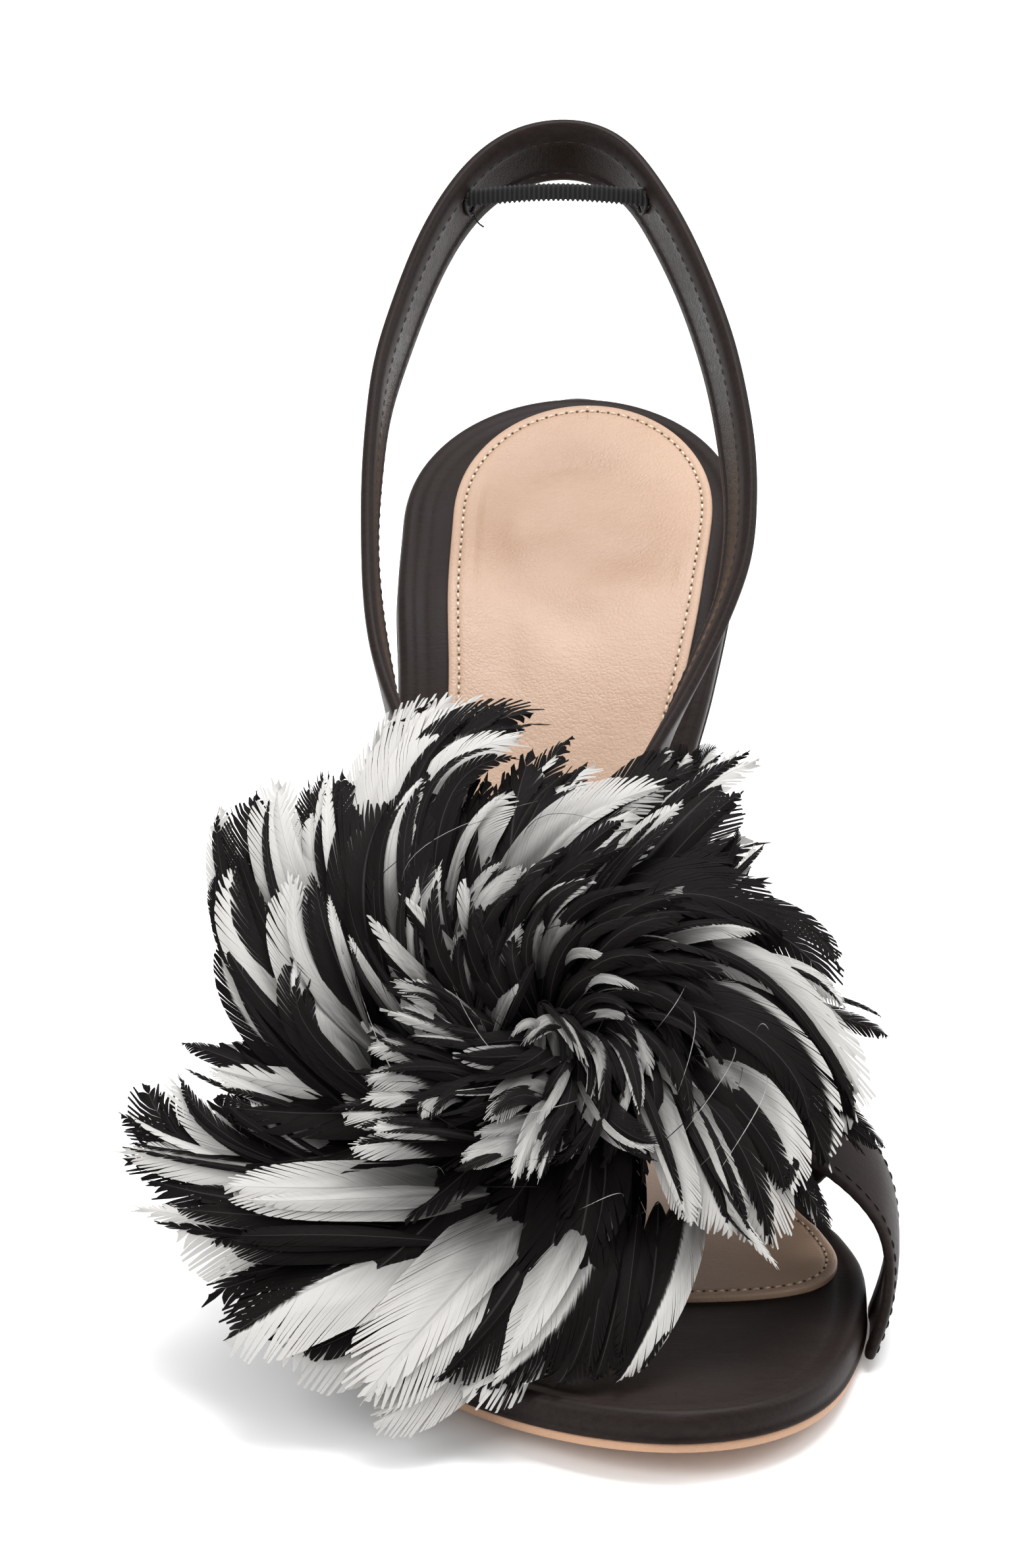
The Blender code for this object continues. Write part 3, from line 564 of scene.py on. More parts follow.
class Finish:
    """A Principled material under construction."""

    def __init__(self, name, **constants):
        self.material = bpy.data.materials.new(name)
        self.material.use_nodes = True
        self.tree = self.material.node_tree
        self.shader = self.tree.nodes["Principled BSDF"]
        for key, value in constants.items():
            self.shader.inputs[key.replace("_", " ")].default_value = value

    def node(self, kind, settings=None, inputs=None, out=0):
        """Add a node: its settings first, then values or links of its sockets."""
        made = self.tree.nodes.new(kind)
        for key, value in (settings or {}).items():
            setattr(made, key, value)
        for key, value in (inputs or {}).items():
            socket = made.inputs[key]
            if isinstance(value, Wire):
                self.tree.links.new(value.socket, socket)
            else:
                socket.default_value = value
        return Wire(self, made.outputs[out])

    def feed(self, socket, wire):
        """Link a wire to a socket of the shader."""
        self.tree.links.new(wire.socket, self.shader.inputs[socket])

    def place(self, scale=(1, 1, 1), turn=(0, 0, 0)):
        """Object coordinates, stretched and turned."""
        spot = self.node("ShaderNodeTexCoord", out="Object")
        return self.node("ShaderNodeMapping", None, {"Vector": spot, "Scale": scale, "Rotation": turn})

    def noise(self, vector, scale, detail=3.0, rough=0.55):
        """Noise between 0 and 1."""
        return self.node("ShaderNodeTexNoise", None, {
            "Vector": vector, "Scale": scale, "Detail": detail, "Roughness": rough})

    def range(self, value, low, high, to_low=0.0, to_high=1.0):
        """Smooth step of a value from one range to another."""
        return self.node("ShaderNodeMapRange", {"interpolation_type": "SMOOTHSTEP"}, {
            "Value": value, 1: low, 2: high, 3: to_low, 4: to_high})

    def blend(self, factor, a, b):
        """Colour between two others."""
        return self.node("ShaderNodeMix", {"data_type": "RGBA"}, {0: factor, 6: a, 7: b}, out=2)

    def bump(self, height, distance, strength=1.0):
        """Feed a height in metres' worth of distance to the normal."""
        self.feed("Normal", self.node("ShaderNodeBump", None, {
            "Height": height, "Distance": distance, "Strength": strength}))


def shade(colour, factor):
    """A colour made lighter or darker."""
    return tuple(min(1.0, c * factor) for c in colour[:3]) + (1.0,)


def satin(name, colour):
    """Heavy satin: slubs, fine threads and clouds of uneven colour, summed into one tone."""
    cloth = Finish(name, Roughness=0.42, IOR=1.17)
    spot = cloth.place()
    slub = cloth.noise(cloth.place((260, 2600, 900)), 1.0, 2.0)
    fine = cloth.noise(cloth.place((3400, 1500, 2600)), 1.0, 2.0)
    cloudy = cloth.noise(spot, 38.0, 3.0)
    tone = slub * 0.45 + fine * 0.3 + cloudy * 0.25
    tone = cloth.range(tone, 0.3, 0.7)
    cloth.feed("Base Color", cloth.blend(tone, shade(colour, 0.75), shade(colour, 1.35)))
    cloth.feed("Roughness", cloth.range(cloudy * 0.6 + slub * 0.4, 0.3, 0.7, 0.36, 0.52))
    cloth.bump(slub * 0.5 + fine * 0.5, 0.00012, 0.35)
    return cloth.material


def leather(name, colour, deep, grain=1500.0, gloss=0.42, dents=0.0004, index=1.5, painted_shade=None):
    """Leather: pebbled grain between fine wrinkles, with soft pressed dents and cloudy colour,
    which is darker by painted shade in the hollows where the mask function, called with the material,
    returns 1."""
    hide = Finish(name, Roughness=gloss, IOR=index, Specular_IOR_Level=0.4)
    spot = hide.place()
    cells = hide.node("ShaderNodeTexVoronoi", {"feature": "DISTANCE_TO_EDGE"}, {
        "Vector": spot, "Scale": grain, "Randomness": 1.0}, out="Distance")
    wrinkle = hide.noise(hide.place((1.0, 2.6, 1.0), (0, 0, 0.5)), grain * 0.42, 4.0, 0.6)
    broad = hide.noise(spot, 62.0, 3.0, 0.5)
    cloudy = hide.noise(spot, 24.0, 4.0)
    tone = cloudy * 0.5 + broad * 0.3 + wrinkle * 0.2
    # Painted shade: the tone drops towards the darker colour where the hollows' mask is 1.
    if painted_shade:
        tone = tone - painted_shade(hide) * 0.11
    hide.feed("Base Color", hide.blend(hide.range(tone, 0.26, 0.64), deep, colour))
    hide.feed("Roughness", hide.range(wrinkle * 0.5 + broad * 0.5, 0.3, 0.7, gloss - 0.06, gloss + 0.12))
    height = hide.range(cells, 0.0, 0.28) * 0.10 + wrinkle * 0.22 + broad * (dents * 1000)
    hide.bump(height, 0.0005, 0.5)
    return hide.material


def thread(name, colour):
    """Waxed thread with its twist."""
    cord = Finish(name, Roughness=0.55, Specular_IOR_Level=0.25)
    twist = cord.noise(cord.place((2400, 2400, 900)), 1.0, 2.0)
    tone = cord.range(twist, 0.35, 0.65)
    cord.feed("Base Color", cord.blend(tone, shade(colour, 0.7), shade(colour, 1.15)))
    cord.bump(twist, 0.0001, 0.5)
    return cord.material


def plastic(name, colour):
    """Hard wearing plastic with fine scuffs."""
    hard = Finish(name, Roughness=0.35, Specular_IOR_Level=0.5)
    scuff = hard.noise(hard.place((400, 2200, 1600)), 1.0, 4.0)
    hard.feed("Base Color", hard.blend(hard.range(scuff, 0.5, 0.8), colour, shade(colour, 2.2)))
    hard.feed("Roughness", hard.range(scuff, 0.35, 0.7, 0.3, 0.55))
    hard.bump(scuff, 0.0001, 0.4)
    return hard.material


def elastic(name, colour):
    """Ribbed elastic with the bloom of its covered rubber, and painted highlight and shade on its ribs."""
    band = Finish(name, Roughness=0.75, Sheen_Weight=0.05, Sheen_Roughness=0.5,
                  Specular_IOR_Level=0.2)
    spot = band.node("ShaderNodeTexCoord", out="Object")
    across = band.node("ShaderNodeSeparateXYZ", None, {0: spot}, out="X")
    rib = (across * (2 * math.pi / TAPE_RIB)).sine()
    knit = band.noise(band.place((1500, 3000, 5200)), 1.0, 2.0)
    # Painted highlight and shade: lighter on the ribs' crests, darker between them; the knit noise adds
    # random tone.
    tone = band.range(rib + knit, 0.0, 1.4)
    band.feed("Base Color", band.blend(tone, shade(colour, 0.6), shade(colour, 1.8)))
    band.bump(rib * 0.3 + knit * 0.4, 0.0002, 0.6)
    return band.material


def feather(name, white, black):
    """Dyed feather. The attribute marking says where on the vane it is pale: its red, green,
    blue and alpha weigh the way along, the way across, the distance from the shaft and a
    constant, and it is pale where their sum is above 0. The attribute spread holds the way
    along, the way across and a number of the feather's own; the map vane holds each barb's
    foot, so that what depends on it runs out along the barbs."""
    vane = Finish(name, Roughness=0.45, IOR=1.12)

    def part(source, axis):
        return vane.node("ShaderNodeSeparateXYZ", None, {0: source}, out=axis)

    marking = vane.node("ShaderNodeAttribute", {"attribute_name": "marking"}, out="Vector")
    constant = vane.node("ShaderNodeAttribute", {"attribute_name": "marking"}, out="Alpha")
    spread = vane.node("ShaderNodeAttribute", {"attribute_name": "spread"}, out="Vector")
    foot = part(vane.node("ShaderNodeUVMap", {"uv_map": "vane"}), "X")
    along, across, seed = (part(spread, axis) for axis in "XYZ")
    off = across.abs()
    streak_at = vane.node("ShaderNodeCombineXYZ", None, {0: foot * 60.0, 1: across * 0.8, 2: seed * 37.0})
    streak = vane.noise(streak_at, 1.0, 2.0, 0.6)
    fine_at = vane.node("ShaderNodeCombineXYZ", None, {0: foot * 230.0, 1: across * 1.2, 2: seed * 11.0})
    fine = vane.noise(fine_at, 1.0, 2.0)
    cloud_at = vane.node("ShaderNodeCombineXYZ", None, {0: along * 2.2, 1: across * 1.5, 2: seed * 53.0})
    cloud = vane.noise(cloud_at, 1.0, 2.0)
    field = (along * part(marking, "X") + across * part(marking, "Y") + off * part(marking, "Z")
             + constant + (streak - 0.5) * 0.3)
    pale = vane.range(field, -0.07, 0.07)
    # Painted shade: the pale colour darkens towards each feather's root and towards the pompom's seat,
    # where the feathers shade one another; cloud, streaks and fine barbs add random tone.
    depth = vane.node("ShaderNodeVectorMath", {"operation": "DISTANCE"}, {
        0: vane.place(), 1: tuple(POMPOM_SEAT)}, out="Value")
    deep = (vane.range(along, 0.08, 0.9, 0.0, 1.0) * 0.36 + vane.range(depth, 0.02, 0.058, 0.0, 1.0) * 0.34
            + vane.range(cloud, 0.3, 0.7, 0.0, 1.0) * 0.16 + streak * 0.12 + fine * 0.08)
    light = vane.blend(vane.range(deep, 0.1, 0.92), shade(white, 0.05), shade(white, 1.04))
    dark = vane.blend(vane.range(cloud * 0.5 + fine * 0.5, 0.3, 0.75), shade(black, 0.5), shade(black, 1.6))
    colour = vane.blend(pale, dark, light)
    quill = vane.range(off, 0.015, 0.05, 0.3, 0.0)
    vane.feed("Base Color", vane.blend(quill, colour, shade(white, 0.16)))
    vane.feed("Roughness", vane.range(fine, 0.3, 0.7, 0.42, 0.62))
    vane.bump(fine * 0.7 + streak * 0.3, 0.00015, 0.4)
    return vane.material


def edge_profile(columns, count):
    """Inset and height in metres round the edge of a layer."""
    inset, height = contour(columns, count)
    return inset * MM, height * MM


def layer_object(name, y, half, columns, count, materials, middle=13, dent=None, shift=0.0):
    """Layer of the sole, closed. At each station a ring runs over the underside, up one edge,
    over the top and down the other edge: the edge is the outline moved in along its own
    normal by the profile's inset, lifted to its height, and the faces between are straight
    lines from side to side laid on the last."""
    inset, height = edge_profile(columns, count)
    x = centre_line(y) + shift
    right = np.stack([x + half, y], axis=1)
    left = np.stack([x - half, y], axis=1)
    loop = np.concatenate([right, left[::-1]])
    ahead = unit(np.roll(loop, -1, axis=0) - np.roll(loop, 1, axis=0))
    inward = np.stack([ahead[:, 1], -ahead[:, 0]], axis=1)
    plan_right = right[:, None] + inward[:len(y), None] * inset[:, None]
    plan_left = left[:, None] + inward[len(y):, None][::-1] * inset[:, None]
    share = np.linspace(0, 1, middle + 2)[1:-1][None, :, None]
    top = plan_right[:, -1:] * (1 - share) + plan_left[:, -1:] * share
    low = plan_left[:, :1] * (1 - share) + plan_right[:, :1] * share
    plan = np.concatenate([plan_right, top, plan_left[:, ::-1], low], axis=1)
    lift = np.concatenate([height, np.full(middle, height[-1]), height[::-1],
                           np.full(middle, height[0])])
    lift = np.broadcast_to(lift, plan.shape[:2]).copy()
    if dent is not None:
        upper = slice(count, count + middle)
        lift[:, upper] += dent(plan[:, upper, 0], plan[:, upper, 1])
    points = foot_bed(plan[..., 0], plan[..., 1], lift)
    faces = quads(points.shape[0], points.shape[1], wrap_columns=True)
    return mesh_object(name, points, faces, materials)


def sock_half(y, back, front):
    """Half width of the sock: round behind, and squared off with soft corners in front."""
    border = SOCK_BORDER + (SOCK_BORDER_FRONT - SOCK_BORDER) * last("ball", y)
    short = np.clip((front + SOCK_CORNER - y) / SOCK_CORNER, 0.0, 1.0)
    close = (1 - short ** SOCK_SQUARE) ** (1 / SOCK_SQUARE)
    return (full_half(y) - border) * end_round(back - y, SOCK_ROUND) * close


def hollows(x, y):
    """Lift of the sock's top: soft hollows as Gaussians of the distance to a ring inside the
    heel's edge, to a wavy line across the waist, and to a short line on the outer side. The
    hyperbolic tangent of their sum keeps the deepest place at SOCK_HOLLOW."""
    ring = np.hypot(x / SOCK_RING[0], (y - SOCK_RING[2]) / SOCK_RING[1])
    heel = np.exp(-((ring - 1) / 0.22) ** 2) / (1 + np.exp((x - 5 * MM) / (3 * MM)))
    wave = (y - SOCK_WAIST - 2.2 * MM * np.sin(x / (5 * MM))) / (3.6 * MM)
    waist = np.exp(-wave ** 2 - (x / (15 * MM)) ** 4)
    outer = np.exp(-((x + 12 * MM) / (3.4 * MM)) ** 2 - ((y - 103 * MM) / (10 * MM)) ** 2)
    return -SOCK_HOLLOW * np.tanh(heel + waist + outer)


def hollow_painted_shade(hide):
    """Painted shade in the sock's hollows: a mask, 1 on bands round the same ring and across the waist."""
    spot = hide.node("ShaderNodeTexCoord", out="Object")
    x, y = (hide.node("ShaderNodeSeparateXYZ", None, {0: spot}, out=axis) for axis in "XY")
    plan = hide.place((1 / SOCK_RING[0], 1 / SOCK_RING[1], 0))
    ring = hide.node("ShaderNodeVectorMath", {"operation": "DISTANCE"}, {
        0: plan, 1: (0, SOCK_RING[2] / SOCK_RING[1], 0)}, out="Value")
    heel = hide.range((ring - 1.0).abs(), 0.0, 0.42, 1.0, 0.0) * hide.range(x, 0.0, 0.012, 1.0, 0.0)
    waist = (hide.range((y - SOCK_WAIST + x * 0.25).abs(), 0.0, 0.007, 1.0, 0.0)
             * hide.range(x.abs(), 0.008, 0.019, 1.0, 0.0))
    return heel + waist * 0.8


def sock_outline():
    """Stations and half widths of the sock lining."""
    back, front = HEEL_BACK - SOCK_BACK, -SOCK_FRONT - SOCK_LEAD
    y = stations(back, front, SOCK_ROUND, SOCK_CORNER, 90, 24)
    fine = front + SOCK_CORNER * (1 - np.linspace(0, 1, 40)) ** 3
    y = np.concatenate([y[y > front + SOCK_CORNER], fine])
    return y, sock_half(y, back, front)


def build_platform(material):
    """Platform: the sole's outline with its satin-wrapped edge."""
    y = stations(HEEL_BACK, TOE_TIP, HEEL_ROUND, TOE_ROUND, 110, 34)
    return layer_object("platform_wrap", y, sole_half(y), PLATFORM_EDGE, 46, [material])


def build_outsole(material):
    """Outsole: the sole's outline from the heel's breast forward."""
    y = stations(BREAST_BACK, TOE_TIP, OUTSOLE_END, TOE_ROUND, 90, 30)
    half = sole_half(y) * end_round(BREAST_BACK - y, OUTSOLE_END)
    return layer_object("outsole_sheet", y, half, OUTSOLE_EDGE, 26, [material])


def build_sock(material):
    """Sock lining: its own outline with a sewn groove inside the edge and pressed hollows."""
    y, half = sock_outline()
    shift = SOCK_SHIFT * (1 - last("ball", y))
    return layer_object("sock_leather", y, half, SOCK_EDGE, 30, [material], 45, hollows, shift)


def sock_seam():
    """Line of the sock's stitches, its outline moved in by SOCK_SEAM, and its upward normals."""
    y, half = sock_outline()
    x = centre_line(y) + SOCK_SHIFT * (1 - last("ball", y))
    loop = np.concatenate([np.stack([x + half, y], 1), np.stack([x - half, y], 1)[::-1]])
    loop = np.concatenate([loop, loop[:1]])
    ahead = unit(np.gradient(loop, axis=0))
    plan = loop + np.stack([ahead[:, 1], -ahead[:, 0]], 1) * SOCK_SEAM
    line = foot_bed(plan[:, 0], plan[:, 1], SOCK_SEAM_RISE)
    return line, unit(foot_bed(plan[:, 0], plan[:, 1], SOCK_SEAM_RISE + 1 * MM) - line)


def breast_plan():
    """Half outline of the heel's seat from its back, and the hollow breast line."""
    back, front = HEEL_BACK, HEEL_BACK - HEEL_SEAT_RUN
    turn = np.linspace(0.02, math.pi / 2, 26)
    rear = back - HEEL_ROUND * (1 - np.cos(turn))
    y = np.concatenate([rear, np.linspace(rear[-1], front, 14)[1:]])
    half = sole_half(y) - HEEL_INSET
    right = np.stack([centre_line(y) + half, y - HEEL_INSET], axis=1)
    left = np.stack([centre_line(y) - half, y - HEEL_INSET], axis=1)
    share = np.linspace(0, 1, 25)[1:-1]
    breast = right[-1] * (1 - share[:, None]) + left[-1] * share[:, None]
    breast[:, 1] += BREAST_HOLLOW * np.sin(math.pi * share)
    return right, breast, left


def build_heel(material):
    """Heel: rings of the seat's outline drawn in and moved by the form table on their way
    down to the tip, with rounded breast corners."""
    right, breast, left = breast_plan()
    loop = np.concatenate([right, breast, left[::-1]])
    for _ in range(3):
        loop = 0.25 * np.roll(loop, 1, axis=0) + 0.5 * loop + 0.25 * np.roll(loop, -1, axis=0)
    middle = 0.5 * (right[-1, 0] + left[-1, 0])
    seat_half = np.abs(loop[:, 0] - middle).max()
    back_y, front_y = loop[:, 1].max(), loop[:, 1].min()
    u = (loop[:, 0] - middle) / seat_half
    v = (back_y - loop[:, 1]) / (back_y - front_y)
    top = foot_bed(loop[:, 0], loop[:, 1], OUTSOLE_WALL + 0.2 * MM)
    drop = np.linspace(0, 1, 70) ** 1.15
    girth, rear, fore = (smooth(HEEL_FORM, k, drop, "drop")[:, None] for k in ("girth", "back", "front"))
    half = TIP_WIDTH / 2 + (seat_half - TIP_WIDTH / 2) * girth
    tip_back = HEEL_BACK - TIP_BACK
    ring_back = tip_back + (back_y - tip_back) * rear
    ring_front = tip_back - TIP_RUN + (front_y - tip_back + TIP_RUN) * fore
    ring_y = ring_back + (ring_front - ring_back) * v
    ring_y[0] = top[:, 1]
    d = drop[:, None]
    z = top[:, 2] * (1 - d) + (TOP_PIECE_RISE + 0.1 * MM) * d
    rings = np.stack([middle + u * half, ring_y, z], axis=-1)
    return tube_object("heel_wrap", rings, [material])


def build_top_piece(material):
    """Top piece: a straight-sided round-backed ring with a small chamfer on the floor."""
    right, _, left = breast_plan()
    middle = 0.5 * (right[-1, 0] + left[-1, 0])
    turn = np.linspace(0, math.pi, 41)
    straight = 0.3 * TIP_RUN
    arc = np.stack([np.cos(turn) * TIP_WIDTH / 2, np.sin(turn) * (TIP_RUN - straight)], axis=1)
    flat = np.linspace([-TIP_WIDTH / 2, -straight], [TIP_WIDTH / 2, -straight], 12)
    outline = np.concatenate([arc, flat[1:-1]]) + [middle, HEEL_BACK - TIP_BACK - TIP_RUN + straight]
    centre = np.array([middle, HEEL_BACK - TIP_BACK - TIP_RUN / 2])
    rings = []
    for shrink, level in TIP_FORM:
        ring = centre + (outline - centre) * shrink
        rings.append(np.column_stack([ring, np.full(len(ring), level * TOP_PIECE_RISE)]))
    return tube_object("heel_tip", np.stack(rings), [material])


def arch_point(turn, y):
    """Point of the foot's arch: turn 0 at the big-toe side's base, 1 at the other."""
    along = y / SOLE_RUN
    angle = turn * math.pi
    near = turn <= 0.5
    bulge = VAMP_BULGE * np.where(near, smooth(ARCH, "medial", along, "along"),
                                  smooth(ARCH, "lateral", along, "along"))
    reach = (sole_half(y) + LAYER_GAP) * np.abs(np.cos(angle)) ** 0.8
    swell = bulge * np.abs(np.sin(2 * angle))
    base = bed_height(centre_line(y), y) + OUTSOLE_WALL + LAYER_GAP
    crown = VAMP_CROWN * smooth(ARCH, "crown", along, "along")
    z = base + crown * np.abs(np.sin(angle)) ** 0.9
    return np.stack([centre_line(y) + np.where(near, 1.0, -1.0) * (reach + swell), y, z], axis=-1)


def arch_offset(turn, y, offset):
    """Point of the arch moved out along its own normal."""
    turn = np.clip(turn, 0.0, 1.0)
    before, after = np.clip(turn - 0.002, 0, 1), np.clip(turn + 0.002, 0, 1)
    around = arch_point(after, y) - arch_point(before, y)
    along = arch_point(turn, y + 0.4 * MM) - arch_point(turn, y - 0.4 * MM)
    normal = unit(np.cross(along, around))
    normal = normal * np.where(normal[..., 2] < -0.5, -1.0, 1.0)[..., None]
    return arch_point(turn, y) + normal * np.asarray(offset)[..., None]


def strap_ring():
    """Across and depth round a whole strap section, and which of its sides are lining."""
    across, depth = contour(STRAP_SECTION, 30)
    across = np.concatenate([across, -across[::-1][1:-1]])
    depth = np.concatenate([depth, depth[::-1][1:-1]])
    nearer = np.maximum(np.abs(across), np.abs(np.roll(across, -1)))
    lining = (nearer < LINING_EDGE + 0.02) & (depth < 0.5)
    return across, depth, lining.astype(int)


def build_vamp_strap(name, edges, wall, under, materials, steps=240):
    """Strap over the arch. Each ring is the strap's section laid between its front and rear
    edges; the edges ripple slightly as turned satin does over its stitches."""
    turn = np.linspace(0, 1, steps)
    front = smooth(edges, "front", turn, "turn") * SOLE_RUN
    rear = smooth(edges, "rear", turn, "turn") * SOLE_RUN
    lift = smooth(edges, "lift", turn, "turn") * (VAMP_LAP + under)
    ripple = 0.05 * MM * np.sin(turn * 2 * math.pi * 60)
    across, depth, lining = strap_ring()
    middle, half = 0.5 * (front + rear), 0.5 * (rear - front) + ripple
    y = middle[:, None] + half[:, None] * across[None, :]
    t = np.broadcast_to(turn[:, None], y.shape)
    offset = lift[:, None] + wall * depth[None, :]
    rings = arch_offset(t, y, offset)
    strap = tube_object(name, rings, materials, lining)
    rows = []
    for side in (-1, 1):
        inside = middle + side * (half - STRAP_SEAM)
        out = arch_offset(turn, inside, lift + wall * 1.01)
        deep = arch_offset(turn, inside, lift)
        rows.append((out, unit(out - deep)))
    return strap, rows


def sling_path(steps):
    """Middle line of the sling, its upward and outward directions."""
    rows = np.stack([SLING["across"] * SLING_SPREAD,
                     SLING_START + SLING["along"] * SLING_RUN,
                     SLING_FOOT + SLING["up"] * SLING_CLIMB], axis=1)
    chord = np.concatenate([[0], np.cumsum(np.linalg.norm(np.diff(rows, axis=0), axis=1))])
    chord /= chord[-1]
    track = {"s": chord, "x": rows[:, 0], "y": rows[:, 1], "z": rows[:, 2], "lean": SLING["lean"]}
    s = np.linspace(0, 1, steps)
    line = np.stack([smooth(track, axis, s, "s") for axis in "xyz"], axis=1)
    lean = smooth(track, "lean", s, "s")
    for _ in range(max(3, steps // 8)):
        line[1:-1] = 0.25 * line[:-2] + 0.5 * line[1:-1] + 0.25 * line[2:]
        lean[1:-1] = 0.25 * lean[:-2] + 0.5 * lean[1:-1] + 0.25 * lean[2:]
    lean = np.radians(lean)
    tangent, upright = frames(line, np.array([0.0, 0.0, 1.0]))
    outward = np.cross(upright, tangent)
    up = upright * np.cos(lean)[:, None] + outward * np.sin(lean)[:, None]
    return line, up, np.cross(up, tangent)


def build_sling(materials, steps=420):
    """Sling: the strap's section swept along the path, its width along the leaning upward
    direction and its wall along the outward one. The rim is wider above than below. Its two
    rows of stitches run on the lining."""
    line, up, out = sling_path(steps)
    across, depth, lining = strap_ring()
    shift = np.where(depth < 0.3, -0.12 * np.sqrt(np.clip(1 - across ** 2, 0, 1)), 0.0)
    high = SLING_BAND / 2 * (across + shift)
    thick = SLING_WALL * (depth - 0.5)
    rings = line[:, None] + up[:, None] * high[None, :, None] + out[:, None] * thick[None, :, None]
    sling = tube_object("sling_strap", rings, materials, lining)
    rows = []
    for level in SLING_SEAMS:
        rows.append((line + up * (SLING_BAND / 2 * level) - out * (SLING_WALL / 2), -out))
    return sling, rows


def tape_ends():
    """Where the elastic meets the inner faces of the sling, and the way into the loop there."""
    line, up, out = sling_path(400)
    back = len(line) // 2
    want = SLING_START + TAPE_PLACE * SLING_RUN
    ends = []
    for part in (slice(0, back), slice(back, None)):
        k = np.argmin(np.abs(line[part, 1] - want)) + (part.start or 0)
        inward = -out[k]
        x = line[k, 0] + (0.5 * SLING_WALL - TAPE_RISE * inward[2]) / inward[0]
        ends.append((np.array([x, want, line[k, 2] + TAPE_RISE]), inward, up[k]))
    return ends


def build_tape(material):
    """Elastic: a flat rounded band whose edges swell and draw in at every rib, drawn as a
    superellipse carried along a line that bows slightly upward."""
    (start, _, _), (end, _, _) = tape_ends()
    share = np.linspace(-0.025, 1.025, 360)[:, None]
    line = start * (1 - share) + end * share
    line[:, 2] += TAPE_BOW * np.sin(math.pi * np.clip(share[:, 0], 0, 1))
    rib = np.sin(line[:, 0] * 2 * math.pi / TAPE_RIB)
    turn = np.linspace(0, 2 * math.pi, 24, endpoint=False)
    c, s = np.cos(turn), np.sin(turn)
    wide = np.sign(s) * np.abs(s) ** 0.6 * TAPE_BAND / 2
    deep = np.sign(c) * np.abs(c) ** 0.6 * TAPE_WALL / 2
    swell_z = 1 + 0.07 * rib[:, None] * (1 + (s < 0)[None, :])
    swell_y = 1 + 0.07 * rib[:, None]
    rings = np.stack([np.broadcast_to(line[:, :1], (len(line), len(turn))),
                      line[:, 1:2] + deep * swell_y, line[:, 2:3] + wide * swell_z], axis=-1)
    return tube_object("elastic_band", rings, [material])


def build_slot(name, point, inward, up, material):
    """Sewn edge of a slot: a cord along an upright ellipse on the lining, beaded by its
    stitches."""
    along = unit(np.cross(up, inward))
    turn = np.linspace(0, 2 * math.pi, 61)[:, None]
    bead = 1 + 0.05 * np.sin(turn * 22)
    line = (point + inward * 0.15 * MM + up * (np.sin(turn) * bead * 2.2 - 1.3) * MM
            + along * np.cos(turn) * 1.2 * MM * bead)
    return round_tube(name, line, 0.32 * MM, material)


def build_thread_tail(point, inward, up, material):
    """Cut end of the sewing thread: it falls below the slot and leans out as the square of
    the way down, with one slow wave."""
    fall = np.linspace(0, 1, 16)[:, None]
    line = (point + inward * (0.6 + 1.2 * fall * fall) * MM - up * (3.3 + 2.8 * fall) * MM
            + np.array([0, -1.0, 0]) * np.sin(fall * 3) * MM)
    return round_tube("thread_tail", line, 0.16 * MM, material, 6)


def round_tube(name, line, radius, material, sides=8):
    """Thread or cord: a circle of points carried along a line, closed at both ends."""
    tangent, up = frames(line, np.array([0.13, 0.31, 0.94]))
    side = np.cross(tangent, up)
    turn = np.linspace(0, 2 * math.pi, sides, endpoint=False)
    radius = np.broadcast_to(radius, len(line))[:, None, None]
    rings = line[:, None] + radius * (np.cos(turn)[None, :, None] * up[:, None]
                                      + np.sin(turn)[None, :, None] * side[:, None])
    return tube_object(name, rings, [material])


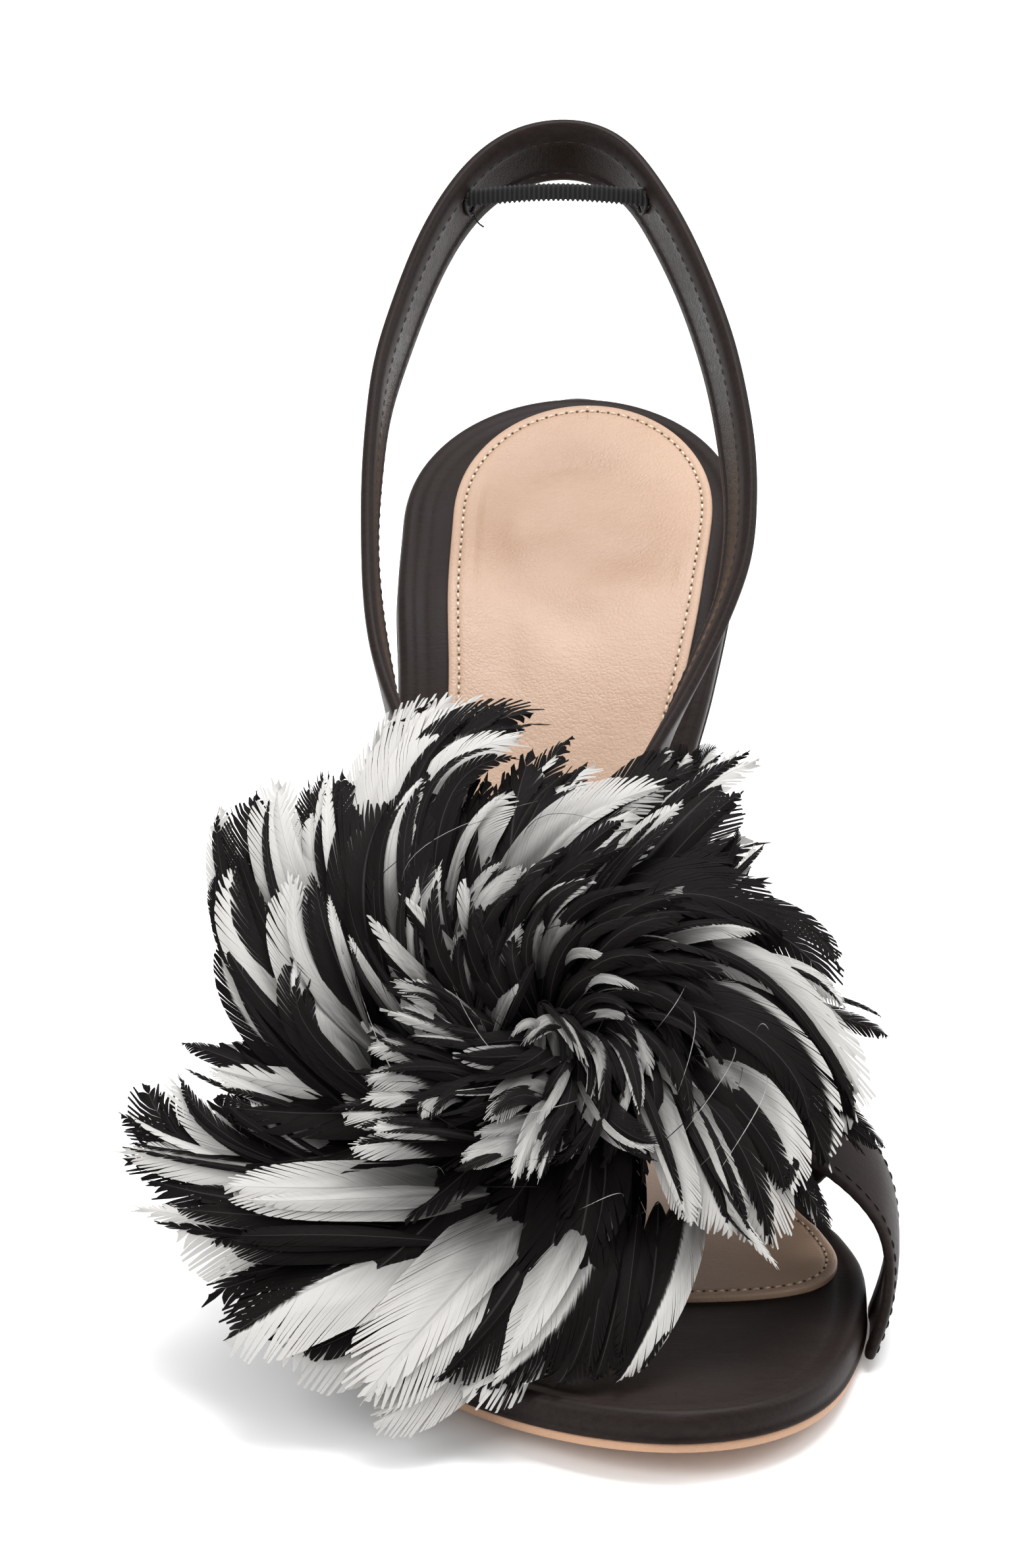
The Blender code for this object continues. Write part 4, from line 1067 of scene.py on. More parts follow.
# Feathers that show most, read off the photograph's own frame: root, middle and tip of the
# shaft in pixels (right, down), the vane's full width in mm, how blunt its tip is, its level
# in the pompom (0 at the rim, 1 on top) and its marking.
PALE, DARK = (0, 0, 0, 1), (0, 0, 0, -1)
TIPPED = (-1.0, 0.25, 0, 0.66)         # pale with a dark tip
FROSTED = (1.0, -0.2, 0, -0.66)        # dark with a pale tip
EDGED = (0.25, 0, 1.0, -0.93)          # dark with a pale rim
SIDED = (0, 1.0, 0, -0.05)             # pale on one side of the shaft
OTHER = (0, -1.0, 0, -0.05)            # pale on the other side
SMOKY = (0.4, 0.9, 0, 0.08)            # pale, darker down one side
HERO = [
    (650, 1480, 580, 1240, 690, 1052, 12, 0.9, 0.6, PALE),
    (660, 1470, 610, 1230, 722, 1056, 12, 0.8, 0.7, PALE),
    (640, 1470, 570, 1250, 642, 1078, 11, 0.9, 0.55, PALE),
    (620, 1450, 556, 1270, 592, 1110, 10, 0.8, 0.5, PALE),
    (640, 1400, 655, 1170, 812, 1082, 13, 0.8, 0.65, TIPPED),
    (680, 1420, 680, 1190, 770, 1066, 10, 0.8, 0.6, TIPPED),
    (640, 1380, 665, 1190, 795, 1118, 9, 0.6, 0.75, PALE),
    (640, 1450, 622, 1290, 650, 1170, 9, 0.7, 0.75, DARK),
    (610, 1440, 590, 1300, 640, 1180, 8, 0.4, 0.8, SMOKY),
    (580, 1480, 552, 1340, 590, 1218, 14, 1.0, 0.7, DARK),
    (570, 1470, 522, 1310, 520, 1170, 13, 0.9, 0.6, DARK),
    (560, 1470, 508, 1320, 500, 1180, 3, 0.3, 0.75, PALE),
    (530, 1440, 486, 1310, 470, 1190, 8, 0.6, 0.5, SIDED),
    (540, 1450, 492, 1300, 490, 1172, 5, 0.6, 0.55, DARK),
    (510, 1470, 440, 1320, 424, 1180, 13, 0.8, 0.6, PALE),
    (450, 1480, 392, 1320, 390, 1202, 14, 0.9, 0.5, DARK),
    (430, 1560, 350, 1380, 337, 1220, 7, 0.4, 0.4, PALE),
    (430, 1560, 346, 1420, 330, 1328, 4, 0.5, 0.5, DARK),
    (600, 1690, 400, 1560, 344, 1400, 8, 0.3, 0.4, SMOKY),
    (590, 1680, 420, 1560, 352, 1370, 6, 0.3, 0.5, DARK),
    (580, 1640, 405, 1480, 352, 1320, 10, 0.4, 0.6, PALE),
    (570, 1600, 430, 1480, 372, 1290, 10, 0.5, 0.55, DARK),
    (560, 1600, 470, 1480, 440, 1330, 12, 0.5, 0.75, PALE),
    (590, 1640, 480, 1560, 452, 1440, 10, 0.4, 0.8, SMOKY),
    (580, 1560, 510, 1450, 478, 1330, 8, 0.4, 0.8, DARK),
    (560, 1540, 520, 1440, 500, 1360, 3, 0.3, 0.95, PALE),
    (620, 1720, 400, 1625, 276, 1582, 5, 0.3, 0.35, DARK),
    (600, 1740, 420, 1670, 318, 1625, 4, 0.3, 0.35, PALE),
    (600, 1740, 420, 1690, 335, 1660, 5, 0.4, 0.35, DARK),
    (560, 1765, 450, 1725, 380, 1672, 7, 0.4, 0.35, SMOKY),
    (500, 1755, 400, 1715, 344, 1675, 2, 0.3, 0.45, DARK),
    (640, 1770, 340, 1750, 222, 1645, 13, 0.9, 0.15, DARK),
    (640, 1770, 400, 1755, 262, 1638, 8, 0.6, 0.2, PALE),
    (660, 1775, 430, 1760, 330, 1660, 17, 1.0, 0.1, DARK),
    (660, 1775, 400, 1750, 272, 1632, 4, 0.4, 0.3, DARK),
    (640, 1780, 380, 1765, 183, 1690, 9, 0.7, 0.2, DARK),
    (640, 1785, 380, 1775, 186, 1742, 8, 0.6, 0.25, PALE),
    (640, 1790, 400, 1790, 184, 1757, 9, 0.8, 0.2, DARK),
    (740, 1780, 540, 1800, 338, 1799, 13, 0.5, 0.6, PALE),
    (700, 1810, 440, 1825, 232, 1792, 12, 1.0, 0.2, DARK),
    (700, 1845, 480, 1835, 345, 1802, 5, 0.4, 0.45, PALE),
    (680, 1865, 440, 1865, 268, 1868, 20, 1.0, 0.25, PALE),
    (660, 1850, 430, 1860, 206, 1832, 6, 0.5, 0.2, PALE),
    (680, 1850, 440, 1845, 268, 1834, 6, 0.4, 0.5, DARK),
    (680, 1860, 460, 1885, 352, 1880, 8, 0.5, 0.55, DARK),
    (700, 1860, 500, 1905, 316, 1965, 17, 1.0, 0.2, DARK),
    (740, 1840, 520, 1930, 338, 2035, 22, 1.0, 0.45, (-0.9, -0.9, 0, 0.62)),
    (780, 1850, 590, 1975, 425, 2055, 22, 1.0, 0.3, PALE),
    (830, 1800, 690, 1960, 552, 2120, 20, 1.0, 0.5, PALE),
    (820, 1850, 710, 1990, 600, 2090, 14, 0.7, 0.45, DARK),
    (820, 1900, 710, 2050, 566, 2166, 13, 0.8, 0.35, PALE),
    (840, 1830, 760, 1970, 672, 2090, 15, 0.7, 0.5, DARK),
    (890, 1850, 810, 2010, 702, 2112, 16, 1.0, 0.45, PALE),
    (910, 1800, 850, 1960, 748, 2104, 15, 0.8, 0.6, (0, 0.8, 0, 0.3)),
    (930, 1800, 895, 1980, 840, 2130, 15, 0.9, 0.5, DARK),
    (960, 1820, 940, 1960, 902, 2105, 10, 0.6, 0.45, DARK),
    (1040, 1780, 1020, 1930, 934, 2116, 9, 0.3, 0.5, OTHER),
    (1000, 1800, 990, 1950, 958, 2070, 7, 0.4, 0.45, DARK),
    (950, 1550, 1010, 1720, 1050, 1862, 10, 0.6, 0.9, PALE),
    (980, 1560, 1060, 1740, 1112, 1876, 13, 0.7, 0.8, PALE),
    (1000, 1600, 1080, 1780, 1182, 1924, 3, 0.3, 0.75, PALE),
    (1010, 1600, 1120, 1740, 1162, 1892, 15, 0.9, 0.7, PALE),
    (1010, 1560, 1150, 1680, 1202, 1812, 12, 0.5, 0.8, (0.2, -0.9, 0, 0.05)),
    (930, 1490, 1140, 1570, 1255, 1765, 17, 0.5, 0.75, (0, -1.0, 0, -0.82)),
    (930, 1480, 1150, 1520, 1300, 1700, 20, 0.8, 0.6, EDGED),
    (880, 1490, 1120, 1452, 1312, 1672, 9, 0.4, 0.7, PALE),
    (1000, 1465, 1170, 1460, 1285, 1530, 6, 0.4, 0.65, PALE),
    (900, 1480, 1120, 1400, 1262, 1500, 16, 0.8, 0.5, DARK),
    (1000, 1480, 1220, 1525, 1350, 1573, 5, 0.4, 0.35, DARK),
    (1040, 1580, 1220, 1660, 1336, 1745, 4, 0.4, 0.35, DARK),
    (1060, 1560, 1230, 1640, 1345, 1742, 4, 0.3, 0.3, DARK),
    (1040, 1620, 1170, 1730, 1262, 1876, 6, 0.4, 0.5, DARK),
    (1060, 1640, 1180, 1750, 1240, 1860, 3, 0.3, 0.45, PALE),
    (770, 1500, 770, 1290, 870, 1116, 8, 0.6, 0.4, DARK),
    (780, 1500, 800, 1300, 893, 1156, 8, 0.7, 0.5, DARK),
    (790, 1480, 790, 1290, 905, 1160, 9, 0.6, 0.5, SMOKY),
    (750, 1430, 855, 1265, 1010, 1192, 13, 0.4, 0.75, PALE),
    (760, 1450, 850, 1320, 968, 1225, 12, 0.5, 0.8, SMOKY),
    (800, 1450, 940, 1240, 1062, 1168, 16, 0.8, 0.45, DARK),
    (900, 1400, 1010, 1240, 1154, 1150, 7, 0.4, 0.5, PALE),
    (920, 1400, 1020, 1250, 1122, 1138, 6, 0.5, 0.45, PALE),
    (850, 1450, 1000, 1280, 1096, 1190, 20, 0.9, 0.5, DARK),
    (900, 1430, 1010, 1330, 1114, 1312, 10, 0.5, 0.5, DARK),
    (980, 1400, 1085, 1325, 1120, 1254, 3, 0.3, 0.4, DARK),
    (1000, 1410, 1100, 1345, 1145, 1282, 3, 0.3, 0.4, PALE),
    (870, 1370, 950, 1290, 1038, 1216, 5, 0.4, 0.8, PALE),
    (850, 1450, 1000, 1360, 1192, 1420, 18, 0.8, 0.65, DARK),
    (850, 1480, 930, 1395, 1040, 1345, 8, 0.4, 0.85, SMOKY),
    (900, 1460, 1040, 1412, 1152, 1414, 5, 0.3, 0.8, SMOKY),
    (1000, 1230, 990, 1180, 1018, 1146, 4, 0.8, 0.4, SIDED),
    (1030, 1220, 1025, 1175, 1046, 1142, 5, 0.9, 0.4, SIDED),
    (1050, 1210, 1060, 1165, 1088, 1134, 5, 0.8, 0.4, SIDED),
    (680, 1480, 640, 1390, 655, 1300, 9, 0.6, 0.95, TIPPED),
    (700, 1500, 718, 1390, 790, 1312, 10, 0.5, 0.95, SMOKY),
    (690, 1450, 700, 1290, 780, 1200, 12, 0.5, 0.55, (0.2, 0.7, 0, -0.12)),
    (740, 1600, 690, 1535, 600, 1492, 8, 0.5, 1.0, PALE),
    (750, 1610, 680, 1560, 612, 1530, 6, 0.6, 1.0, SIDED),
    (740, 1640, 650, 1600, 560, 1592, 7, 0.9, 1.0, FROSTED),
    (740, 1650, 650, 1630, 556, 1640, 8, 0.9, 1.0, FROSTED),
    (740, 1670, 650, 1660, 552, 1668, 7, 0.9, 0.95, FROSTED),
    (740, 1690, 640, 1690, 518, 1690, 9, 1.0, 0.9, FROSTED),
    (740, 1710, 640, 1730, 530, 1742, 8, 0.9, 0.9, FROSTED),
    (750, 1700, 660, 1710, 560, 1712, 6, 0.9, 1.0, FROSTED),
    (760, 1660, 690, 1650, 640, 1700, 7, 0.8, 1.0, FROSTED),
    (720, 1540, 698, 1470, 706, 1410, 6, 0.5, 1.0, PALE),
    (740, 1550, 755, 1480, 792, 1400, 7, 0.5, 1.0, SMOKY),
    (750, 1560, 770, 1510, 802, 1462, 5, 0.5, 1.0, PALE),
    (640, 1560, 570, 1490, 530, 1420, 3, 0.3, 0.95, PALE),
    (650, 1520, 630, 1430, 636, 1330, 4, 0.4, 0.95, PALE),
    (850, 1620, 842, 1550, 796, 1582, 6, 0.5, 1.1, PALE),
    (870, 1630, 850, 1540, 895, 1620, 6, 0.5, 1.1, SMOKY),
    (860, 1660, 800, 1645, 745, 1705, 9, 0.6, 1.1, PALE),
    (850, 1660, 822, 1690, 780, 1795, 6, 0.4, 1.05, PALE),
    (850, 1670, 835, 1710, 820, 1790, 5, 0.5, 1.05, SMOKY),
    (830, 1690, 770, 1730, 700, 1762, 8, 0.9, 1.0, PALE),
    (880, 1590, 920, 1690, 1000, 1736, 9, 0.6, 1.0, (0, 1.0, 0, -0.45)),
    (900, 1540, 950, 1590, 972, 1690, 5, 0.4, 1.0, EDGED),
    (860, 1520, 900, 1480, 970, 1500, 5, 0.5, 1.05, SMOKY),
    (860, 1560, 900, 1535, 960, 1545, 4, 0.5, 1.05, SMOKY),
]

# The pompom's plane: across the shoe, up the slope, and square to both
PLANE_U = np.array([1.0, 0.0, 0.0])
PLANE_V = np.array([0.0, math.cos(POMPOM_TILT), math.sin(POMPOM_TILT)])
PLANE_N = np.array([0.0, -math.sin(POMPOM_TILT), math.cos(POMPOM_TILT)])

BARB_RUN = 1.24                # a barb's run forward over the vane's width
OPENING = (317.0, 32.0)        # turn and half width in degrees of the gap that shows the sock
GOLDEN_TURN = 2.39996          # radians from one feather to the next, so that no two line up
CELL = 1.5 * MM                # cell of the height map of the straps, which starts at MAP_CORNER
CELLS = 120
MAP_CORNER = np.array([-0.085, -0.075])
STRAP_CLEAR = 0.5 * MM         # least height of a feather over the straps
SOCK_CLEAR = 8.6 * MM          # over the outsole's underside
FLOOR_CLEAR = 0.8 * MM         # and over the floor
EASE = 1.2 * MM                # height over which a feather is raised softly


def cast(u, v, off):
    """Place on the pompom's plane, lifted by off, that a pixel of the photograph looks at."""
    ahead = np.array([0.0, math.sin(CAMERA_PITCH), -math.cos(CAMERA_PITCH)])
    up = np.array([0.0, math.cos(CAMERA_PITCH), math.sin(CAMERA_PITCH)])
    right = (u - PHOTO_SIZE[0] / 2) / PHOTO_FOCAL
    rise = (PHOTO_SIZE[1] / 2 - v) / PHOTO_FOCAL
    ray = ahead + right[..., None] * PLANE_U + rise[..., None] * up
    start = POMPOM_SEAT - CAMERA_PLACE
    reach = (start @ PLANE_N + off) / (ray @ PLANE_N)
    spot = CAMERA_PLACE + reach[..., None] * ray - POMPOM_SEAT
    return spot @ PLANE_U, spot @ PLANE_V


def dome(a, b):
    """Height of the pompom's top over its plane, the part's own dome without its ridges."""
    turn = np.degrees(np.arctan2(b, a)) % 360
    reach = smooth(ROSETTE, "reach", turn, "turn") * POMPOM_REACH
    share = np.clip(np.hypot(a, b) / reach, 0, 1.15)
    lift = smooth(ROSETTE, "raise", turn, "turn") * POMPOM_REACH * share ** 2
    hump = POMPOM_HUMP * 4 * share * np.clip(1 - share, 0, 1)
    return lift + hump + POMPOM_DOME * np.clip(1 - share, 0, 1) ** 0.8


def support():
    """Height map of the straps: the highest point of their pieces in each cell."""
    grid = np.zeros((CELLS, CELLS))
    for thing in bpy.data.objects:
        if thing.name in ("vamp_strap_upper", "vamp_strap_lower", "sling_strap"):
            spots = np.empty(len(thing.data.vertices) * 3, np.float32)
            thing.data.vertices.foreach_get("co", spots)
            spots = spots.reshape(-1, 3).astype(float)
            i = ((spots[:, :2] - MAP_CORNER) / CELL).astype(int)
            inside = np.all((i >= 0) & (i < CELLS), axis=1)
            np.maximum.at(grid, (i[inside, 0], i[inside, 1]), spots[inside, 2])
    for _ in range(2):
        grown = [np.roll(grid, (i, k), (0, 1)) for i in (-1, 0, 1) for k in (-1, 0, 1)]
        grid = np.max(grown, axis=0)
    return grid


def keep_clear(points, ground):
    """Points raised softly off the straps, the sock and the floor: a height h over the lowest
    that is allowed becomes EASE times the logarithm of 1 + exp(h / EASE)."""
    i = np.clip(((points[..., :2] - MAP_CORNER) / CELL).astype(int), 0, CELLS - 1)
    floor = ground[i[..., 0], i[..., 1]] + STRAP_CLEAR
    x, y = points[..., 0], points[..., 1]
    over = (np.abs(x - centre_line(y)) < sole_half(y) + 1 * MM) & (y > TOE_TIP) & (y < HEEL_BACK)
    floor = np.maximum(floor, np.where(over, bed_height(x, y) + SOCK_CLEAR, FLOOR_CLEAR))
    gap = (points[..., 2] - floor) / EASE
    soft = np.where(gap > 20, gap, np.log1p(np.exp(np.clip(gap, -40, 20))))
    points[..., 2] = floor + soft * EASE
    return points


def barb_fan(width, length, blunt, strips, columns, chance):
    """Corners of every barb strip on a flat feather, for each feather, side, strip, edge and
    column: the barb's foot and the corner's place along, in shares of the length, and the
    distance across in metres. The vane's half width rises as a root of the way along e and
    closes as (1 - e to a power) to the power 0.7, the blunter the higher the power. A barb
    that ends at e leaves the shaft so far behind that it runs forward at about 22 degrees.
    Towards the tip its end narrows to a point and falls short or long by chance; a few barbs
    further back split from the next one too."""
    count = len(width)
    shape = (count, 1, 1, 1, 1)
    width, length, blunt = (np.reshape(value, shape) for value in (width, length, blunt))
    x = np.linspace(0, 1, strips + 1)
    edges = 1 - (1 - x) ** 1.35
    ends = np.stack([edges[:-1], edges[1:]], axis=1)[None, None, :, :, None]
    middle = ends.mean(axis=3, keepdims=True)
    t = np.linspace(0, 1, columns + 1)
    jitter = chance.normal(0, 1, (count, 2, strips, 1, 1))
    split = chance.uniform(0, 1, (count, 2, strips, 1, 1))
    nearness = middle ** 7
    pinch = 0.02 + 0.8 * nearness + 0.8 * ((split > 0.97) & (middle > 0.3))
    e = middle + (ends - middle) * (1 - np.clip(pinch, 0, 0.95) * t ** 3)
    power = 2.4 + 10 * blunt
    half = np.clip(e / 0.3, 0, 1) ** 0.5 * np.clip(1 - e ** power, 0, 1) ** 0.7
    sweep = np.clip(BARB_RUN * width / length, 0.06, 0.42)
    foot = np.clip(e - sweep * half, 0, 1)
    fray = jitter * (0.0012 + 0.024 * nearness) * t ** 3
    along = foot + (e - foot) * t ** 1.15 + fray
    across = half * t ** 0.88 * width / 2
    full = (count, 2, strips, 2, columns + 1)
    return tuple(np.broadcast_to(value, full) for value in (foot, along, across))


def vanes(name, shaft, width, blunt, marking, twist, camber, strips, columns, material, ground, seed):
    """Feathers as one mesh of barb strips laid along shaft(s), which gives points on every
    feather. A vane twists about its shaft from root to tip, and droops by its camber times the
    square of the way across."""
    chance = np.random.default_rng(seed)
    count = len(width)
    length = np.linalg.norm(shaft(np.ones(count)) - shaft(np.zeros(count)), axis=-1)
    foot, s, far = barb_fan(width, length, blunt, strips, columns, chance)
    t = np.linspace(0, 1, columns + 1)
    side = np.array([-1.0, 1.0])[None, :, None, None, None]
    line = shaft(s)
    ahead = unit(shaft(s + 0.02) - shaft(s - 0.02))
    up = unit(PLANE_N - ahead * (ahead @ PLANE_N)[..., None])
    out = np.cross(ahead, up)
    turned = twist[:, None, None, None, None, None] * (0.4 + 0.6 * s[..., None])
    out, up = out * np.cos(turned) + up * np.sin(turned), up * np.cos(turned) - out * np.sin(turned)
    flutter = chance.normal(0, 0.003, (count, 2, strips, 1, 1)) * t
    droop = (camber[:, None, None, None, None] * t ** 2 + flutter) * width[:, None, None, None, None]
    points = line + out * (side * far)[..., None] - up * droop[..., None]
    points = keep_clear(points, ground)
    one = quads(2, columns + 1)
    start = (np.arange(count * 2 * strips) * 2 * (columns + 1))[:, None, None]
    faces = (one[None] + start).reshape(-1, 4)
    flip = (np.arange(count * 2 * strips) // strips % 2).repeat(len(one)) == 0
    faces[flip] = faces[flip][:, ::-1]
    thing = mesh_object(name, points, faces, [material], weld=False)
    lie = np.broadcast_to(side * t, s.shape)
    layer = thing.data.uv_layers.new(name="vane")
    spot = np.stack([foot, 0.5 + 0.5 * lie], axis=-1).reshape(-1, 2)[faces.ravel()]
    layer.data.foreach_set("uv", spot.astype(np.float32).ravel())
    each = s[0].size
    own = np.broadcast_to(chance.uniform(0, 1, count)[:, None, None, None, None], s.shape)
    spread = thing.data.attributes.new("spread", "FLOAT_VECTOR", "POINT")
    spread.data.foreach_set("vector", np.stack([s, lie, own], axis=-1).astype(np.float32).ravel())
    mark = thing.data.attributes.new("marking", "FLOAT_COLOR", "POINT")
    mark.data.foreach_set("color", np.repeat(marking, each, axis=0).astype(np.float32).ravel())
    return place(thing, "feather_black_white")


def through(root, middle, tip, level, hump=0.0):
    """Shaft through three places on the pompom's plane, as a parabola in each axis, at a level
    between the plane and the dome's top; its root dips into the dome."""
    def shaft(s):
        each = (-1,) + (1,) * (s.ndim - 1)
        ends = (2 * (s - 0.5) * (s - 1), 4 * s * (1 - s), 2 * s * (s - 0.5))
        a, b = (sum(share * spot[k].reshape(each) for share, spot in zip(ends, (root, middle, tip)))
                for k in (0, 1))
        high = level.reshape(each)
        off = dome(a, b) * (0.25 + 0.75 * high) + 3.0 * MM * high - 5 * MM * np.clip(1 - s, 0, 1) ** 3
        off = off + hump * 4 * s * (1 - s)
        return POMPOM_SEAT + a[..., None] * PLANE_U + b[..., None] * PLANE_V + off[..., None] * PLANE_N
    return shaft


def laid(pixels, level):
    """Places on the pompom's plane of shafts whose root, middle and tip are given as pixels,
    found by letting their height over the plane settle."""
    spots = []
    for k in (0, 2, 4):
        off = np.full(len(pixels), 10 * MM)
        for _ in range(5):
            a, b = cast(pixels[:, k], pixels[:, k + 1], off)
            off = dome(a, b) * (0.25 + 0.75 * level) + 3 * MM * level
        spots.append(np.stack([a, b]))
    return spots


def polar(turn, reach):
    """Plane place at a turn in radians and a distance."""
    return np.stack([reach * np.cos(turn), reach * np.sin(turn)])


def swirl(turn, swing, bend, near, far, level, hump=0.0):
    """Shafts from a place near the middle, swung round by swing, through one swung by a share
    of it halfway out, to a place far out at the turn."""
    return through(polar(turn + swing, near), polar(turn + swing * bend, 0.5 * (near + far)),
                   polar(turn, far), level, hump)


def pick_marks(kinds, shares, count, chance):
    """Markings drawn at random with the given shares."""
    return np.array(kinds, float)[chance.choice(len(kinds), count, p=shares)]


def listed():
    """The list of shown feathers as arrays: its numbers, its markings and its levels."""
    numbers = np.array([row[:9] for row in HERO], float)
    return numbers, np.array([row[9] for row in HERO], float), numbers[:, 8]


def shown_feathers(plume, ground, chance):
    """The photograph's feathers; the top ones are slimmer, and all stand for the part's dome."""
    numbers, marks, level = listed()
    count = len(numbers)
    slim = np.where(level > 0.88, 0.62, 0.82)
    shown = vanes("feathers_shown", through(*laid(numbers, level), level), numbers[:, 6] * slim * MM,
                  numbers[:, 7], marks, chance.normal(0, 0.16, count),
                  chance.uniform(0.05, 0.16, count), 40, 3, plume, ground, 21)
    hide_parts("pompom")


def between_feathers(plume, ground, chance):
    """One slim feather beside each of the photograph's, two beside those of the upper levels,
    moved off by some pixels and mostly of the other colour."""
    numbers, marks, level = listed()
    pick = np.repeat(np.arange(len(numbers)), np.where(level > 0.52, 2, 1))
    count = len(pick)
    apart = chance.normal(0, 13, (count, 2))
    pixels = numbers[pick, :6] + np.tile(apart, 3) + chance.normal(0, 7, (count, 6))
    reach = chance.uniform(0.7, 1.0, (count, 1))
    pixels[:, 4:] = pixels[:, 2:4] + (pixels[:, 4:] - pixels[:, 2:4]) * reach
    level = level[pick] + chance.uniform(-0.03, 0.1, count)
    pale = marks[pick, 3] > 0
    contrary = chance.uniform(0, 1, count) < np.where(pale, 0.85, 0.22)
    marks = np.where((pale ^ contrary)[:, None], PALE, DARK).astype(float)
    vanes("feathers_between", through(*laid(pixels, level), level),
          numbers[pick, 6] * chance.uniform(0.12, 0.46, count) * MM, chance.uniform(0.1, 0.5, count),
          marks, chance.normal(0, 0.3, count), chance.uniform(0.0, 0.2, count), 22, 2,
          plume, ground, 25)


def under_feathers(count, plume, ground, chance):
    """Mostly dark feathers under the shown ones, short where the sock shows."""
    turn = (np.arange(count) * GOLDEN_TURN) % (2 * math.pi)
    rim = smooth(ROSETTE, "reach", np.degrees(turn), "turn") * POMPOM_REACH
    far = rim * chance.uniform(0.5, 0.86, count)
    opening = np.abs(np.degrees(turn) - OPENING[0]) < OPENING[1]
    far = np.where(opening, 0.5 * far, far)
    near = rim * chance.uniform(0.04, 0.2, count)
    swing = SWIRL * chance.uniform(0.9, 1.5, count)
    marks = pick_marks((DARK, PALE, TIPPED, FROSTED, SIDED, EDGED),
                       (0.86, 0.03, 0.02, 0.03, 0.03, 0.03), count, chance)
    shaft = swirl(turn, swing, 0.38, near, far, chance.uniform(-0.25, 0.55, count))
    vanes("feathers_under", shaft, chance.uniform(5, 11, count) * MM,
          chance.uniform(0.2, 0.8, count), marks, chance.normal(0, 0.35, count),
          chance.uniform(0.05, 0.2, count), 18, 2, plume, ground, 22)


def short_feathers(count, plume, ground, chance):
    """Short feathers curled round the middle."""
    turn = (np.arange(count) * GOLDEN_TURN + 1.0) % (2 * math.pi)
    near = chance.uniform(1, 12, count) * MM
    far = near + chance.uniform(10, 22, count) * MM
    swing = SWIRL * chance.uniform(0.8, 2.2, count)
    marks = pick_marks((DARK, PALE, TIPPED, FROSTED, SIDED, EDGED),
                       (0.76, 0.02, 0.02, 0.10, 0.02, 0.08), count, chance)
    shaft = swirl(turn, swing, 0.5, near, far, chance.uniform(0.55, 1.05, count), 1.5 * MM)
    vanes("feathers_short", shaft, chance.uniform(1.8, 4.2, count) * MM,
          chance.uniform(0.1, 0.6, count), marks, chance.normal(0, 0.5, count),
          chance.uniform(0.05, 0.25, count), 12, 2, plume, ground, 23)


def filaments(count, plume, ground, chance):
    """Loose filaments that stand up from the feathers."""
    turn = chance.uniform(0, 2 * math.pi, count)
    near = chance.uniform(2, 34, count) * MM
    far = near + chance.uniform(2, 6, count) * MM
    swing = chance.normal(0.3, 0.35, count)
    shaft = swirl(turn, swing, 0.7, near, far, chance.uniform(0.95, 1.1, count), 0.6 * MM)
    marks = pick_marks((DARK, PALE), (0.7, 0.3), count, chance)
    vanes("feather_filaments", shaft, np.full(count, 0.16 * MM), np.full(count, 0.1), marks,
          chance.normal(0, 0.8, count), np.zeros(count), 14, 1, plume, ground, 24)


def build_pompom(settings):
    """All the pompom's feathers in one material, laid clear of the straps below them."""
    plume = feather("feather_vane", settings.pale, settings.dark)
    ground = support()
    chance = np.random.default_rng(11)
    shown_feathers(plume, ground, chance)
    between_feathers(plume, ground, chance)
    under_feathers(settings.fill, plume, ground, chance)
    short_feathers(settings.tufts, plume, ground, chance)
    filaments(settings.hairs, plume, ground, chance)


def area_light(name, spot, aim, size, power):
    """Soft square light."""
    data = bpy.data.lights.new(name, "AREA")
    data.size, data.energy = size, power
    lamp = bpy.data.objects.new(name, data)
    bpy.context.scene.collection.objects.link(lamp)
    lamp.location = spot
    toward = np.array(aim, float) - np.array(spot, float)
    flat = math.hypot(toward[0], toward[1])
    lamp.rotation_euler = (math.atan2(flat, -toward[2]), 0, math.atan2(-toward[0], toward[1]))


def build_stage():
    """Pale floor, soft light from above, and the camera that took the photograph."""
    grid = np.stack(np.meshgrid(np.linspace(-6, 6, 3), np.linspace(-6, 6, 3), [0.0], indexing="ij"), -1)
    paper = Finish("paper_floor", Roughness=0.9, Specular_IOR_Level=0.1)
    cloud = paper.noise(paper.place(), 3.0, 2.0)
    paper.feed("Base Color", paper.blend(cloud, (0.93, 0.93, 0.93, 1), (0.95, 0.95, 0.95, 1)))
    floor = mesh_object("floor", grid, quads(3, 3), [paper.material], weld=False)
    world = bpy.data.worlds.new("studio")
    bpy.context.scene.world = world
    world.use_nodes = True
    backdrop = world.node_tree.nodes["Background"].inputs
    backdrop["Color"].default_value = (1, 1, 1, 1)
    backdrop["Strength"].default_value = 0.84
    area_light("soft_top", (0.12, 0.3, 1.1), (0, 0.05, 0.03), 0.7, 14.5)
    area_light("soft_left", (-0.9, -0.5, 0.8), (0, 0.05, 0.05), 0.7, 7.0)
    area_light("soft_right", (0.9, 0.2, 0.6), (0, 0.05, 0.05), 0.6, 4.0)
    bpy.context.scene.view_settings.view_transform = "Standard"
    data = bpy.data.cameras.new("camera")
    data.sensor_width = 36.0
    data.lens = PHOTO_FOCAL * data.sensor_width / max(PHOTO_SIZE)
    data.clip_start, data.clip_end = 0.05, 50.0
    camera = bpy.data.objects.new("camera", data)
    bpy.context.scene.collection.objects.link(camera)
    camera.location = tuple(CAMERA_PLACE)
    camera.rotation_euler = (CAMERA_PITCH, 0, 0)
    bpy.context.scene.camera = camera


